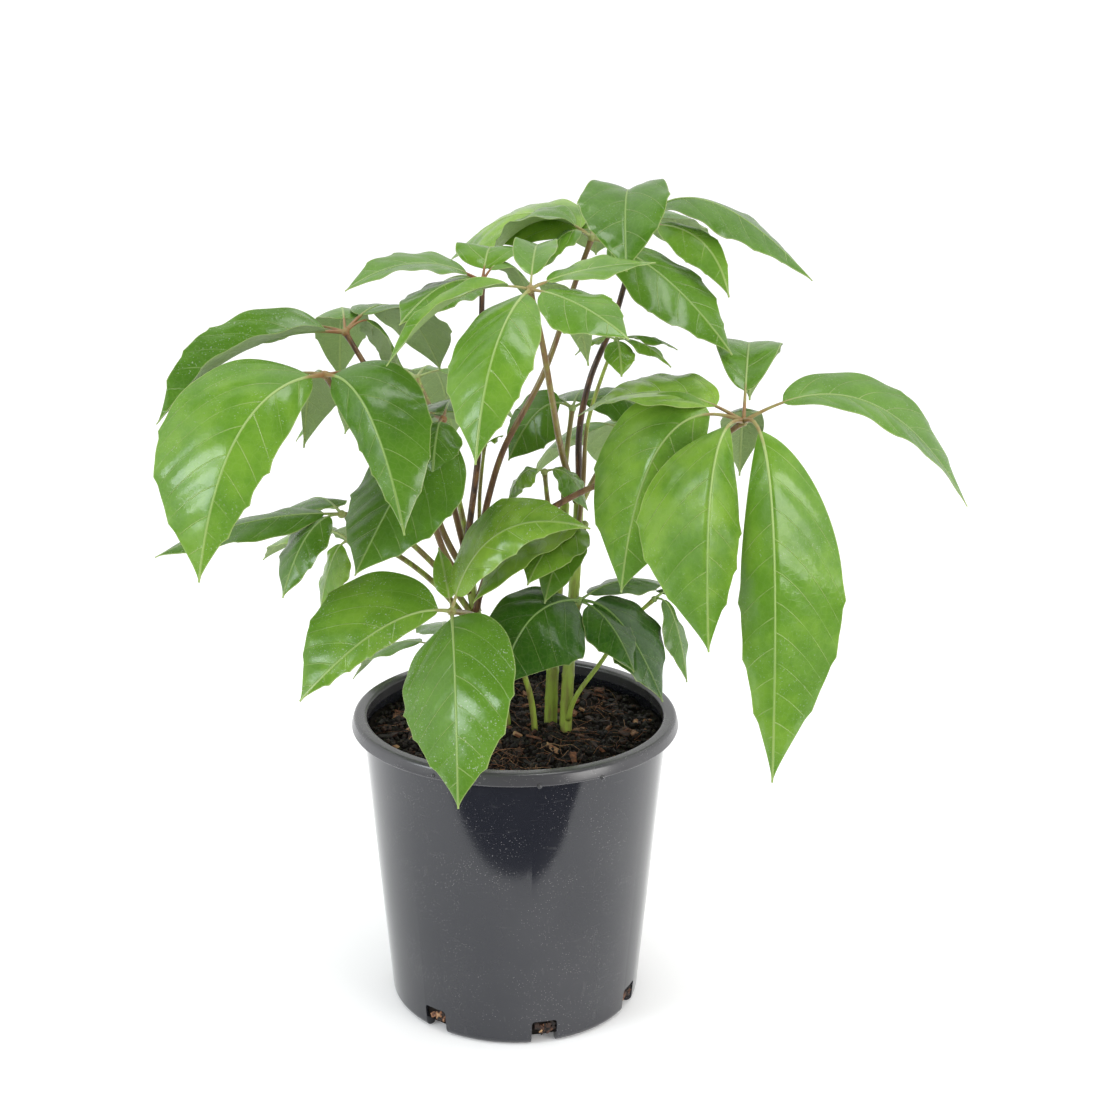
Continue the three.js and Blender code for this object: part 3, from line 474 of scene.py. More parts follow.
class StemLook(bpy.types.PropertyGroup):
    """Colours of the stems and petioles."""

    sides: whole("Sides", "Sides of a petiole", 12)
    fresh: colour("Fresh green", "Green stem", (0.33, 0.45, 0.07))
    olive: colour("Olive", "Half brown stem", (0.2, 0.17, 0.05))
    russet: colour("Russet", "Red-brown petiole", (0.17, 0.085, 0.04))
    brown: colour("Purple brown", "Brown petiole", (0.05, 0.028, 0.022))
    stalk: colour("Leaflet stalk", "Orange-brown stalk", (0.24, 0.11, 0.04))


class StageLook(bpy.types.PropertyGroup):
    """The floor, the lights and the camera."""

    floor: colour("Floor", "Pale floor", (0.95, 0.95, 0.95))
    edge: number("Edge", "Front edge of the floor in reflections", -0.215)
    world: number("World", "Strength of the light from all round", 1.1)
    sides: number("Side lights", "Power of the lights beside the camera", 14, unit="POWER")
    top: number("Top light", "Power of the light overhead", 10, unit="POWER")
    camera: FloatVectorProperty(
        name="Camera", description="Place of the camera", subtype="TRANSLATION", default=(0, -1.1, 0.626)
    )
    pitch: number("Pitch", "How far the camera looks down", 0.298, subtype="ANGLE")
    lens: number("Lens", "Focal length in mm", 63.2)
    shift: number("Shift", "Sideways shift of the picture", 0.0318)


def settings(name):
    """One of the groups of sizes and colours."""
    return getattr(bpy.context.scene, name)


class Shader:
    """The node tree of one material, with short ways to add to it."""

    def __init__(self, name):
        self.material = bpy.data.materials.new(name)
        self.material.use_nodes = True
        self.tree = self.material.node_tree
        self.tree.nodes.clear()

    def add(self, kind, inputs, **options):
        """A node with its options set and its sockets fed by number or name."""
        node = self.tree.nodes.new("ShaderNode" + kind)
        for key, value in options.items():
            setattr(node, key, value)
        for key, value in inputs.items():
            self.feed(node.inputs[key], value)
        return node

    def feed(self, socket, value):
        """Links a socket to another, or gives it a value."""
        if isinstance(value, bpy.types.NodeSocket):
            self.tree.links.new(value, socket)
        elif socket.type == "RGBA" and len(value) == 3:
            socket.default_value = (*value, 1)
        else:
            socket.default_value = value

    def place(self):
        return self.add("TexCoord", {}).outputs["Object"]

    def mark(self, name):
        """The value that the mesh carries under this name."""
        return self.add("Attribute", {}, attribute_name=name).outputs["Fac"]

    def math(self, operation, *values):
        return self.add("Math", dict(enumerate(values)), operation=operation).outputs[0]

    def plus(self, first, second):
        return self.math("ADD", first, second)

    def times(self, first, second):
        return self.math("MULTIPLY", first, second)

    def band(self, value, low, high, start=0.0, end=1.0):
        """start where value is under low, end where it is over high, and a smooth step between."""
        inputs = {"Value": value, "From Min": low, "From Max": high, "To Min": start, "To Max": end}
        return self.add("MapRange", inputs, interpolation_type="SMOOTHSTEP").outputs["Result"]

    def mix(self, share, first, second):
        """A mix of two colours. The node names its sockets alike for each kind, so they go by number."""
        return self.add("Mix", {0: share, 6: first, 7: second}, data_type="RGBA").outputs[2]

    def noise(self, scale, detail=2.0, roughness=0.5, stretch=None):
        vector = self.place()
        if stretch:
            vector = self.add("Mapping", {"Vector": vector, "Scale": stretch}).outputs[0]
        inputs = {"Vector": vector, "Scale": scale, "Detail": detail, "Roughness": roughness}
        return self.add("TexNoise", inputs).outputs[0]

    def cells(self, scale, feature="F1"):
        inputs = {"Vector": self.place(), "Scale": scale}
        return self.add("TexVoronoi", inputs, feature=feature).outputs["Distance"]

    def ramp(self, share, stops):
        """A colour for each share, from a list of (place, colour)."""
        node = self.add("ValToRGB", {0: share})
        elements = node.color_ramp.elements
        while len(elements) < len(stops):
            elements.new(0.5)
        for element, (position, colour) in zip(elements, stops):
            element.position = position
            element.color = (*colour, 1)
        return node.outputs[0]

    def bump(self, height, distance, strength):
        return self.add("Bump", {"Height": height, "Distance": distance, "Strength": strength}).outputs[0]

    def gloss(self, colour, rough, normal=None, **more):
        """A surface of this colour, roughness and bump. more names other sockets, with _ for a space."""
        inputs = {"Base Color": colour, "Roughness": rough}
        if normal is not None:
            inputs["Normal"] = normal
        inputs |= {name.replace("_", " "): value for name, value in more.items()}
        return self.add("BsdfPrincipled", inputs).outputs[0]

    def backlit(self, surface, light, share, normal):
        """The surface, with this share of it let through as light of this colour."""
        glow = self.add("BsdfTranslucent", {"Color": light, "Normal": normal})
        return self.add("MixShader", {0: share, 1: surface, 2: glow.outputs[0]}).outputs[0]

    def finish(self, surface):
        self.add("OutputMaterial", {"Surface": surface})
        return self.material


def unit(vectors):
    return vectors / np.linalg.norm(vectors, axis=-1, keepdims=True)


def smooth(value, low, high):
    """0 under low, 1 over high and a smooth step between."""
    share = np.clip((value - low) / (high - low), 0, 1)
    return share * share * (3 - 2 * share)


class Line:
    """A curve read by its length, from points close together."""

    def __init__(self, points):
        self.points = points
        steps = np.linalg.norm(np.diff(points, axis=0), axis=1)
        self.lengths = np.concatenate([[0], np.cumsum(steps)])
        self.length = self.lengths[-1]

    def at(self, share):
        """Points at these shares of the length."""
        where = np.asarray(share) * self.length
        return np.stack([np.interp(where, self.lengths, self.points[:, k]) for k in range(3)], axis=-1)

    def direction(self, share, step=0.01):
        """Unit directions at these shares of the length."""
        share = np.asarray(share)
        return unit(self.at(np.minimum(share + step, 1)) - self.at(np.maximum(share - step, 0)))


def through(points, steps=40):
    """A centripetal Catmull-Rom curve through the points."""
    points = np.array(points, float)
    ends = [2 * points[0] - points[1], *points, 2 * points[-1] - points[-2]]
    places = [points[:1]]
    for p0, p1, p2, p3 in zip(ends, ends[1:], ends[2:], ends[3:]):
        gap0, gap1, gap2 = (np.linalg.norm(b - a) ** 0.5 for a, b in ((p0, p1), (p1, p2), (p2, p3)))
        start = ((p1 - p0) / gap0 - (p2 - p0) / (gap0 + gap1) + (p2 - p1) / gap1) * gap1
        end = ((p2 - p1) / gap1 - (p3 - p1) / (gap1 + gap2) + (p3 - p2) / gap2) * gap1
        t = np.linspace(0, 1, steps + 1)[1:, None]
        cubic = 2 * p1 - 2 * p2 + start + end
        square = -3 * p1 + 3 * p2 - 2 * start - end
        places.append(p1 + start * t + square * t**2 + cubic * t**3)
    return Line(np.concatenate(places))


def midrib(hub, leaflet):
    """A leaflet's midrib, a quadratic curve from hub to tip, and the direction to its right."""
    hub = np.array(hub, float)
    tip = np.array(leaflet.tip, float)
    ahead = (tip - hub) * (1, 1, 0)
    side = unit(np.array([ahead[1], -ahead[0], 0]))
    bend = hub + ahead * leaflet.out + side * leaflet.swerve
    bend[2] += leaflet.lift
    t = np.linspace(0, 1, 601)[:, None]
    return Line((1 - t) ** 2 * hub + 2 * t * (1 - t) * bend + t**2 * tip), side


def soften(faces):
    """Shades the faces smooth."""
    for face in faces:
        face.smooth = True


def mesh_of(name, bm):
    """A mesh from a bmesh, which is freed."""
    mesh = bpy.data.meshes.new(name)
    bm.to_mesh(mesh)
    bm.free()
    return mesh


def points_of(mesh):
    """A mesh's points, one in each row."""
    points = np.zeros(len(mesh.vertices) * 3)
    mesh.vertices.foreach_get("co", points)
    return points.reshape(-1, 3)


def place_object(name, data):
    """An object in the scene, at the origin."""
    obj = bpy.data.objects.new(name, data)
    bpy.context.scene.collection.objects.link(obj)
    return obj


def verts_of(parts):
    return [part for part in parts if isinstance(part, bmesh.types.BMVert)]


@functools.cache
def sheet(columns, rows):
    """A closed flat sheet with an upper and a lower side, and each point's column, row and side."""
    bm = bmesh.new()
    bmesh.ops.create_grid(bm, x_segments=columns, y_segments=rows, size=0.5)
    copy = bmesh.ops.duplicate(bm, geom=bm.verts[:] + bm.edges[:] + bm.faces[:])["geom"]
    lower = [part for part in copy if isinstance(part, bmesh.types.BMFace)]
    bmesh.ops.reverse_faces(bm, faces=lower)
    for face in lower:
        face.material_index = 1
    bmesh.ops.translate(bm, verts=verts_of(copy), vec=(0, 0, -0.01))
    rim = [edge for edge in bm.edges if edge.is_boundary]
    bmesh.ops.bridge_loops(bm, edges=rim)
    for edge in rim:
        edge.smooth = False
    soften(bm.faces)
    mesh = mesh_of("sheet", bm)
    x, y, z = points_of(mesh).T
    across = np.rint((x + 0.5) * columns).astype(int)
    along = np.rint((y + 0.5) * rows).astype(int)
    return mesh, across, along, z < -0.005


@functools.cache
def tube(columns, rows):
    """A closed tube whose two end rows are points, and each vertex's angle and row."""
    bm = bmesh.new()
    bmesh.ops.create_grid(bm, x_segments=columns, y_segments=rows, size=0.5)
    for vert in bm.verts:
        turn = 2 * math.pi * (vert.co.x + 0.5)
        row = round((vert.co.y + 0.5) * rows)
        radius = 0 if row in (0, rows) else 1
        vert.co = (radius * math.cos(turn), radius * math.sin(turn), row)
    bmesh.ops.remove_doubles(bm, verts=bm.verts, dist=1e-4)
    bmesh.ops.recalc_face_normals(bm, faces=bm.faces)
    soften(bm.faces)
    mesh = mesh_of("tube", bm)
    x, y, z = points_of(mesh).T
    return mesh, np.arctan2(y, x), np.rint(z).astype(int)


@functools.cache
def ball(subdivisions):
    """A ball of radius 1."""
    bm = bmesh.new()
    bmesh.ops.create_icosphere(bm, subdivisions=subdivisions, radius=1)
    soften(bm.faces)
    return mesh_of("ball", bm)


@functools.cache
def chip():
    """A block with bevelled edges, 1 each way."""
    bm = bmesh.new()
    bmesh.ops.create_cube(bm, size=1)
    bevel(bm, bm.edges[:], 0.16, 1)
    return mesh_of("chip", bm)


def bevel(bm, edges, offset, segments):
    kind = dict(offset_type="OFFSET", profile=0.5, affect="EDGES", material=-1, clamp_overlap=True)
    bmesh.ops.bevel(bm, geom=edges, offset=offset, segments=segments, **kind)


def lumpy(mesh, rough, grain, shift):
    """The mesh's points, moved in and out by noise."""
    points = points_of(mesh)
    push = [1 + rough * noise.noise(Vector(point) * grain + Vector(shift)) for point in points]
    return points * np.array(push)[:, None]


def piece(name, bm, materials, node):
    """An object from a bmesh that rides on the frame and stands for this node."""
    obj = place_object(name, mesh_of(name, bm))
    for material in materials:
        obj.data.materials.append(material)
    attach(obj, BODY)
    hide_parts(node)
    return obj


class Growth:
    """One piece made of shaped copies of small meshes, with marks that its materials read."""

    def __init__(self, *marks):
        self.bm = bmesh.new()
        self.marks = {name: [] for name in marks}

    def add(self, mesh, points, material=None, **marks):
        """Adds a copy of mesh with its vertices at points, in millimetres."""
        copy = mesh.copy()
        copy.vertices.foreach_set("co", np.ravel(points) * MM)
        if material is not None:
            copy.polygons.foreach_set("material_index", [material] * len(copy.polygons))
        self.bm.from_mesh(copy)
        bpy.data.meshes.remove(copy)
        for name, kept in self.marks.items():
            kept.append(np.broadcast_to(marks.get(name, 0.0), len(points)))

    def add_tube(self, line, radius_at, sides, rows, material=None, sink=None, **marks):
        """Adds a round closed tube along a line. radius_at gives a radius for each share of its length,
        sink moves its middle by a vector at each share, and a mark may be a function of the share."""
        mesh, turn, row = tube(sides, rows + 2)
        share = np.clip((row - 1) / rows, 0, 1)
        directions = line.direction(np.linspace(0, 1, rows + 1))
        normal = unit(np.cross(directions[0], (0.13, 0.99, 0.07)))
        normals = []
        for direction in directions:
            normal = unit(normal - direction * (normal @ direction))
            normals.append(normal)
        station = np.clip(row - 1, 0, rows)
        first = np.array(normals)[station]
        second = np.cross(directions, normals)[station]
        radius = radius_at(share) * ((row > 0) & (row < rows + 2))
        points = line.at(share) + (first.T * np.cos(turn) * radius + second.T * np.sin(turn) * radius).T
        if sink:
            points = points + sink(share)
        values = {name: value(share) if callable(value) else value for name, value in marks.items()}
        self.add(mesh, points, material, **values)

    def finish(self, node, materials, slot):
        """The piece as an object that rides on the frame and stands for this node."""
        obj = piece(f"{node}_fine", self.bm, materials, node)
        for mark, kept in self.marks.items():
            layer = obj.data.attributes.new(mark, "FLOAT", "POINT")
            layer.data.foreach_set("value", np.concatenate(kept).astype(np.float32))


def teeth(s, places):
    """How far the saw teeth of a wide blade stand out of the margin at s, in millimetres."""
    most = np.zeros_like(s)
    for place in places:
        past = s - place
        most = np.maximum(most, np.where(past <= 0, 1 + past / TOOTH_RISE, 1 - past / TOOTH_FALL))
    return TOOTH_SIZE * np.clip(most, 0, None) ** 1.3


def stations(rows, places):
    """Where the rows of a blade lie: evenly, but for those moved to the point and foot of each tooth."""
    even = np.linspace(0, 1, rows + 1)
    for place in places:
        for moved in (place, place + TOOTH_FALL):
            even[np.abs(even - moved).argmin()] = moved
    return even


class Blade:
    """The surface of one leaflet, read by s from its base to its tip and u from edge to edge. A narrow
    one has lower quilting, ruffles and teeth."""

    def __init__(self, hub, leaflet, seed):
        look = settings("tree_leaf")
        self.leaflet = leaflet
        self.rib, self.side = midrib(hub, leaflet)
        self.start = leaflet.stalk / self.rib.length
        self.length = self.rib.length - leaflet.stalk
        self.widest = leaflet.width / 2
        self.fold = math.radians(leaflet.fold)
        self.teeth = TOOTH_PLACES[leaflet.teeth]
        self.phases = np.random.default_rng(seed).uniform(0, 2 * math.pi, 2)
        self.veins = max(4, self.length / look.spacing)
        self.quilt = look.quilt * min(1, self.widest / 30)

    def width(self, s, u):
        """The width at s as a share of the greatest, and half of it in millimetres without teeth."""
        shape = np.sin(math.pi * s**self.leaflet.peak) ** 0.55 * (1 - 0.96 * s**5)
        widest = self.widest * (1 + self.leaflet.lean * np.sign(u))
        share = np.maximum(shape, np.where(s < 0.5, 0.05, 0.6 / widest))
        return share, widest * share

    def vein(self, s, reach):
        """How many side veins leave the midrib before the one that passes here."""
        ahead = 0.6 * reach + 0.6 * reach**2 / self.widest
        return (s - ahead / self.length) * self.veins

    def rise(self, s, u, reach, edge):
        """How far fold, cup, wave, ruffle and quilting lift the blade over its rib."""
        share, half = self.width(s, u)
        cup = CUP * u**2 * half
        wave = WAVE * u**2 * share * np.sin(WAVE_PACE * s + np.where(u > 0, *WAVE_STARTS))
        ruffle = RUFFLE * u**4 * share * np.sin(RUFFLE_PACE * s + np.where(u > 0, *self.phases))
        ruffle = ruffle * min(1, self.widest / 25)
        pillow = np.abs(np.sin(math.pi * (self.vein(s, reach) + 0.5 * (u < 0)))) ** 0.7 - 0.6
        inside = smooth(reach, 0.5, 6) * smooth(edge, 0, 5) * smooth(s, 0, 0.12)
        return -reach * math.sin(self.fold) - cup + wave + ruffle + self.quilt * pillow * inside

    def surface(self, s, u):
        """Points, upward normals and marks at these places of the blade."""
        along = self.start + (1 - self.start) * s
        roll = math.radians(self.leaflet.roll)
        level = unit(np.cross(self.side, self.rib.direction(along)))
        across = self.side * math.cos(roll) - level * math.sin(roll)
        normal = level * math.cos(roll) + self.side * math.sin(roll)
        half = self.width(s, u)[1]
        tooth = teeth(s, self.teeth) * min(1, self.widest / 37.5)
        reach = np.abs(u) * half + tooth * np.abs(u) ** 8
        right = np.sign(u)
        edge = (1 - np.abs(u)) * (half + tooth)
        points = self.rib.at(along) + across * (right * reach * math.cos(self.fold))[:, None]
        points = points + normal * self.rise(s, u, reach, edge)[:, None]
        facing = normal * math.cos(self.fold) + across * (right * math.sin(self.fold))[:, None]
        marks = dict(rib=right * reach, edge=edge, vein=self.vein(s, reach), along=s)
        return points, facing, dict(marks, pitch=self.length / self.veins)


def add_leaflet(growth, leaf, leaflet, seed):
    """Adds one leaflet: its blade, and its stalk and midrib as one tapered rib."""
    look = settings("tree_leaf")
    blade = Blade(leaf.hub, leaflet, seed)
    size = min(1, 0.4 + max(blade.length / 120, blade.widest / 35) * 0.6)
    rows, columns = (int(count * size) // 2 * 2 for count in (look.rows, look.columns))
    mesh, across, along, under = sheet(columns, rows)
    s = stations(rows, blade.teeth)[along]
    u = 2 * across / columns - 1
    u = np.sign(u) * np.abs(u) ** 0.92
    points, facing, marks = blade.surface(s, u)
    thin = look.thickness / 2 * (1 - 0.5 * np.abs(u) ** 6)
    points = points + facing * (thin * np.where(under, -1, 1))[:, None]
    shared = dict(tone=leaflet.tone, dust=leaf.dust)
    growth.add(mesh, points, warmth=leaf.warmth[1], **shared, **marks)

    def radius_at(share):
        return np.interp(share, RIB_SHARES, RIB_RADII) * min(1, 0.35 + blade.widest / 45)

    def sink(share):
        rise = look.thickness * 0.35 * smooth(share, blade.start, blade.start + 0.1)
        return rise[:, None] * (0, 0, 1)

    def brown(share):
        return leaf.warmth[1] * (1 - smooth(share, 0.75 * blade.start, 1.5 * blade.start + 0.04))

    shared |= dict(warmth=brown, along=lambda share: share)
    growth.add_tube(blade.rib, radius_at, 8, rows // 2, 2, sink, **shared)


def vein_pattern(shader):
    """How much of a vein each place of a blade is: the side veins, and the fine net between."""
    rib = shader.mark("rib")
    left = shader.math("LESS_THAN", rib, 0.0)
    vein = shader.plus(shader.mark("vein"), shader.times(left, 0.5))
    off = shader.times(shader.math("PINGPONG", vein, 0.5), shader.mark("pitch"))
    lines = shader.band(off, 0.12, 0.55, 1, 0)
    fade = shader.band(shader.mark("edge"), 0.5, 6, 0.2, 1)
    fade = shader.times(fade, shader.band(shader.noise(55), 0.35, 0.6, 0.25, 1))
    middle = shader.band(shader.math("ABSOLUTE", rib), 0.4, 0.9, 1, 0)
    side_veins = shader.math("MAXIMUM", shader.times(lines, fade), middle)
    net = shader.band(shader.cells(290, "DISTANCE_TO_EDGE"), 0.015, 0.11, 1, 0)
    return side_veins, net


def leaf_colour(shader, look):
    """The green of a leaf's upper side, by its tone with painted shade and backlight, with soft mottling.
    """
    mottle = shader.band(shader.noise(38, 4, 0.6), 0.3, 0.7, -0.08, 0.08)
    mottle = shader.times(mottle, shader.band(shader.mark("tone"), 0.45, 0.75, 1, 3))
    tone = shader.plus(shader.mark("tone"), mottle)
    # The ramp paints shade at its deep end and backlight at its bright end, over the green of old and new
    # leaves.
    return shader.ramp(tone, [(0, look.deep), (0.5, look.green), (1, look.young_and_backlit)])


def leaf_top():
    """Glossy green with pale veins, a fine net, a pale margin and dried water spots."""
    look = settings("tree_leaf")
    shader = Shader("leaf_top")
    side_veins, net = vein_pattern(shader)
    # Side veins show paler on leaflets of higher tone, so they follow the painted light as well.
    pale = shader.band(shader.mark("tone"), 0, 0.5, 0.2, 0.5)
    margin = shader.band(shader.mark("edge"), 0.1, 0.7, 0.42, 0)
    spots = shader.band(shader.noise(900, 2, 0.6), 0.62, 0.7)
    spots = shader.times(spots, shader.band(shader.noise(45), 0.42, 0.62))
    spots = shader.times(spots, shader.times(shader.mark("dust"), 0.7))
    colour = shader.mix(shader.times(net, 0.05), leaf_colour(shader, look), look.vein)
    colour = shader.mix(shader.times(side_veins, pale), colour, look.vein)
    colour = shader.mix(margin, colour, PALE_MARGIN)
    colour = shader.mix(spots, colour, WATER_SPOT)
    smear = shader.band(shader.noise(22, 3), 0.3, 0.7, 0.17, 0.29)
    rough = shader.plus(smear, shader.times(spots, 0.3))
    height = shader.plus(side_veins, shader.times(net, 0.05))
    for scale, rise in ((420, 0.08), (130, 0.35), (60, 1.6)):
        height = shader.plus(height, shader.times(shader.noise(scale), rise))
    normal = shader.bump(height, 0.0004, 0.7)
    sheen = dict(Sheen_Weight=0.08, Sheen_Roughness=0.4)
    surface = shader.gloss(colour, rough, normal, Specular_IOR_Level=0.58, **sheen)
    light = shader.mix(0.35, colour, BACKLIGHT)
    return shader.finish(shader.backlit(surface, light, 0.3, normal))


def leaf_under():
    """Pale matt underside with raised veins."""
    look = settings("tree_leaf")
    shader = Shader("leaf_under")
    side_veins, net = vein_pattern(shader)
    colour = shader.mix(0.75, leaf_colour(shader, look), look.under)
    colour = shader.mix(shader.times(net, 0.25), colour, look.vein)
    colour = shader.mix(shader.times(side_veins, 0.6), colour, look.vein)
    rough = shader.band(shader.noise(60), 0.3, 0.7, 0.48, 0.6)
    normal = shader.bump(shader.plus(side_veins, shader.times(net, 0.4)), 0.0004, 0.8)
    surface = shader.gloss(colour, rough, normal)
    return shader.finish(shader.backlit(surface, colour, 0.35, normal))


def leaf_rib():
    """Pale yellow-green midrib, brown where its stalk leaves the hub."""
    shader = Shader("leaf_rib")
    streak = shader.band(shader.noise(160, 3), 0.3, 0.7, -0.12, 0.12)
    warmth = shader.plus(shader.mark("warmth"), streak)
    # The rib is darker on leaflets of low tone, which paints their shade too.
    pale = shader.mix(shader.mark("tone"), RIB_DARK, RIB_PALE)
    green = shader.mix(shader.band(shader.mark("along"), 0.1, 0.9), pale, RIB_TIP)
    colour = shader.mix(shader.band(warmth, 0.15, 0.95), green, settings("tree_stem").stalk)
    rough = shader.band(shader.noise(90), 0.3, 0.7, 0.36, 0.5)
    return shader.finish(shader.gloss(colour, rough))


def stem_skin(name, rough_low, rough_high):
    """Smooth green to brown skin with fine lengthways streaks and pale pores."""
    look = settings("tree_stem")
    shader = Shader(name)
    streak = shader.noise(70, 4, 0.6, stretch=(4, 4, 0.6))
    warmth = shader.plus(shader.mark("warmth"), shader.band(streak, 0.3, 0.7, -0.2, 0.2))
    stops = [(0.05, look.fresh), (0.4, look.olive), (0.75, look.russet), (1, look.brown)]
    pores = shader.band(shader.cells(420), 0.1, 0.2, 1, 0)
    pores = shader.times(pores, shader.band(shader.noise(60), 0.5, 0.62))
    colour = shader.mix(shader.times(pores, 0.55), shader.ramp(warmth, stops), PORE)
    bark = shader.times(shader.band(shader.mark("bark"), 0.2, 1), shader.band(streak, 0.4, 0.6))
    colour = shader.mix(shader.times(bark, 0.35), colour, OLD_BARK)
    rough = shader.band(streak, 0.3, 0.7, rough_low, rough_high)
    height = shader.plus(shader.times(streak, 0.6), shader.times(pores, 0.5))
    return shader.finish(shader.gloss(colour, rough, shader.bump(height, 0.0004, 0.6)))


def pot_plastic():
    """Glossy black plastic with dust, faint scuffs and a fine grain, duller on the rim."""
    pot = settings("tree_pot")
    shader = Shader("pot_plastic")
    specks = shader.band(shader.cells(750), 0.09, 0.18, 1, 0)
    specks = shader.times(specks, shader.band(shader.noise(34, 4, 0.7), 0.43, 0.6))
    scuffs = shader.band(shader.noise(60, 5, 0.7, stretch=(1, 1, 5)), 0.6, 0.74)
    scratches = shader.band(shader.noise(240, 2, 0.6, stretch=(1, 1, 0.3)), 0.68, 0.72)
    film = shader.band(shader.noise(9, 4), 0.35, 0.75, 0, 0.05)
    height = shader.add("SeparateXYZ", {0: shader.place()}).outputs[2]
    rim = shader.band(height, (pot.lip_bottom - 0.5) * MM, (pot.lip_bottom + 0.5) * MM)
    dust = shader.plus(film, shader.times(specks, 0.75))
    # This also makes the whole rim above the lip a little paler; the loop below makes it rougher.
    for part, weight in ((scuffs, 0.06), (scratches, 0.03), (rim, 0.13)):
        dust = shader.plus(dust, shader.times(part, weight))
    colour = shader.mix(dust, pot.plastic, POT_DUST)
    rough = shader.band(shader.noise(14, 4), 0.3, 0.7, 0.07, 0.12)
    for part, weight in ((scuffs, 0.12), (rim, 0.16)):
        rough = shader.plus(rough, shader.times(part, weight))
    normal = shader.bump(shader.noise(700, 3), 0.0001, 0.12)
    return shader.finish(shader.gloss(colour, rough, normal, Specular_IOR_Level=0.6))


def mix_soil():
    """Very dark damp crumbs."""
    shader = Shader("mix_soil")
    grain = shader.noise(330, 5, 0.7)
    normal = shader.bump(grain, 0.0012, 0.9)
    return shader.finish(shader.gloss(shader.ramp(grain, SOIL), 0.9, normal, Specular_IOR_Level=0.2))


def mix_bark():
    """Bark chips, crumbs and fibres, from near black to tan by their shade."""
    shader = Shader("mix_bark")
    grain = shader.noise(240, 4, 0.65, stretch=(1, 3, 1))
    shade = shader.plus(shader.mark("shade"), shader.band(grain, 0.3, 0.7, -0.16, 0.16))
    return shader.finish(shader.gloss(shader.ramp(shade, CHIPS), 0.7, shader.bump(grain, 0.0006, 0.8)))


def floor_paper():
    """Plain pale floor with a faint light of its own, which keeps it white under the tree."""
    shader = Shader("floor_paper")
    shade = shader.band(shader.noise(3), 0.3, 0.7, 0, 0.02)
    colour = shader.mix(shade, settings("tree_stage").floor, FLOOR_SHADE)
    glow = dict(Emission_Color=(1, 1, 1), Emission_Strength=0.1)
    return shader.finish(shader.gloss(colour, 0.75, **glow))


def matt_black():
    """Matt black of the room behind the camera, which only the reflections show."""
    shader = Shader("matt_black")
    return shader.finish(shader.add("BsdfDiffuse", {"Color": ROOM_BLACK}).outputs[0])


def rounded(corners, segments=6):
    """The outline through corners of x, z and radius, with an arc at each that has a radius."""
    outline = []
    for before, corner, after in zip(corners[:1] + corners, corners, corners[1:] + corners[-1:]):
        place = np.array(corner[:2], float)
        if not corner[2]:
            outline.append(place)
            continue
        back = unit(np.array(before[:2]) - place)
        on = unit(np.array(after[:2]) - place)
        half = math.acos(back @ on) / 2
        centre = place + unit(back + on) * corner[2] / math.sin(half)
        first = place + back * corner[2] / math.tan(half) - centre
        last = place + on * corner[2] / math.tan(half) - centre
        for share in np.linspace(0, 1, segments + 1):
            outline.append(centre + unit(first * (1 - share) + last * share) * corner[2])
    return outline


def turned(outline, steps):
    """A bmesh of an outline from axis to axis, turned right round the z axis."""
    bm = bmesh.new()
    verts = [bm.verts.new((x, 0, z)) for x, z in outline]
    edges = [bm.edges.new(pair) for pair in zip(verts, verts[1:])]
    turn = dict(axis=(0, 0, 1), cent=(0, 0, 0), dvec=(0, 0, 0), angle=2 * math.pi, steps=steps)
    bmesh.ops.spin(bm, geom=verts + edges, use_merge=True, **turn)
    bmesh.ops.remove_doubles(bm, verts=bm.verts, dist=1e-3)
    bmesh.ops.recalc_face_normals(bm, faces=bm.faces)
    soften(bm.faces)
    return bm


def cut(bm, cutter):
    """Takes one closed bmesh out of another."""
    body, tool = (place_object("cut", mesh_of("cut", part)) for part in (bm, cutter))
    boolean = body.modifiers.new("cut", "BOOLEAN")
    boolean.operation = "DIFFERENCE"
    boolean.solver = "MANIFOLD"
    boolean.object = tool
    result = bmesh.new()
    result.from_object(body, bpy.context.evaluated_depsgraph_get())
    for part in (body, tool):
        mesh = part.data
        bpy.data.objects.remove(part)
        bpy.data.meshes.remove(mesh)
    return result


def body_radius(z):
    """Outside radius of the pot's wall at this height."""
    pot = settings("tree_pot")
    return pot.base_radius + (pot.body_top_radius - pot.base_radius) * z / pot.lip_bottom


def notch_turn(number):
    """How far round the pot a drain notch is, in radians from the front."""
    pot = settings("tree_pot")
    return math.radians(pot.notch_first + number % pot.notches * 360 / pot.notches)


def pot_outline():
    """Half the pot's section, from the axis under the plate to the axis above it."""
    pot = settings("tree_pot")
    ring = pot.base_radius - FOOT_WIDTH
    crown = pot.rim_radius - RIM_DRAFT
    return rounded([
        (0, pot.plate, 0),
        (ring, pot.plate, 0.8),
        (ring, 0, 0.8),
        (pot.base_radius, 0, 5),
        (pot.body_top_radius, pot.lip_bottom, 1.2),
        (pot.rim_radius, pot.lip_bottom, 1.1),
        (crown, pot.rim_top, 2.6),
        (crown - RIM_WIDTH, pot.rim_top, 2.2),
        (body_radius(pot.lip_bottom) - pot.wall, pot.lip_bottom - SHOULDER, 3),
        (body_radius(FLOOR_TOP) - pot.wall, FLOOR_TOP, 1),
        (0, FLOOR_TOP, 0),
    ])


def notch_cutters():
    """A block for each drain notch, with its upper edges rounded."""
    pot = settings("tree_pot")
    bm = bmesh.new()
    size = Matrix.Diagonal((pot.notch_width, NOTCH_DEPTH, 2 * pot.notch_height, 1))
    out = Matrix.Translation((0, -pot.base_radius - pot.wall, 0))
    for number in range(pot.notches):
        place = Matrix.Rotation(notch_turn(number), 4, "Z") @ out @ size
        bmesh.ops.create_cube(bm, size=1, matrix=place)
    level = [edge for edge in bm.edges if all(vert.co.z > 0 for vert in edge.verts)]
    bevel(bm, level, NOTCH_ROUND, 4)
    return bm


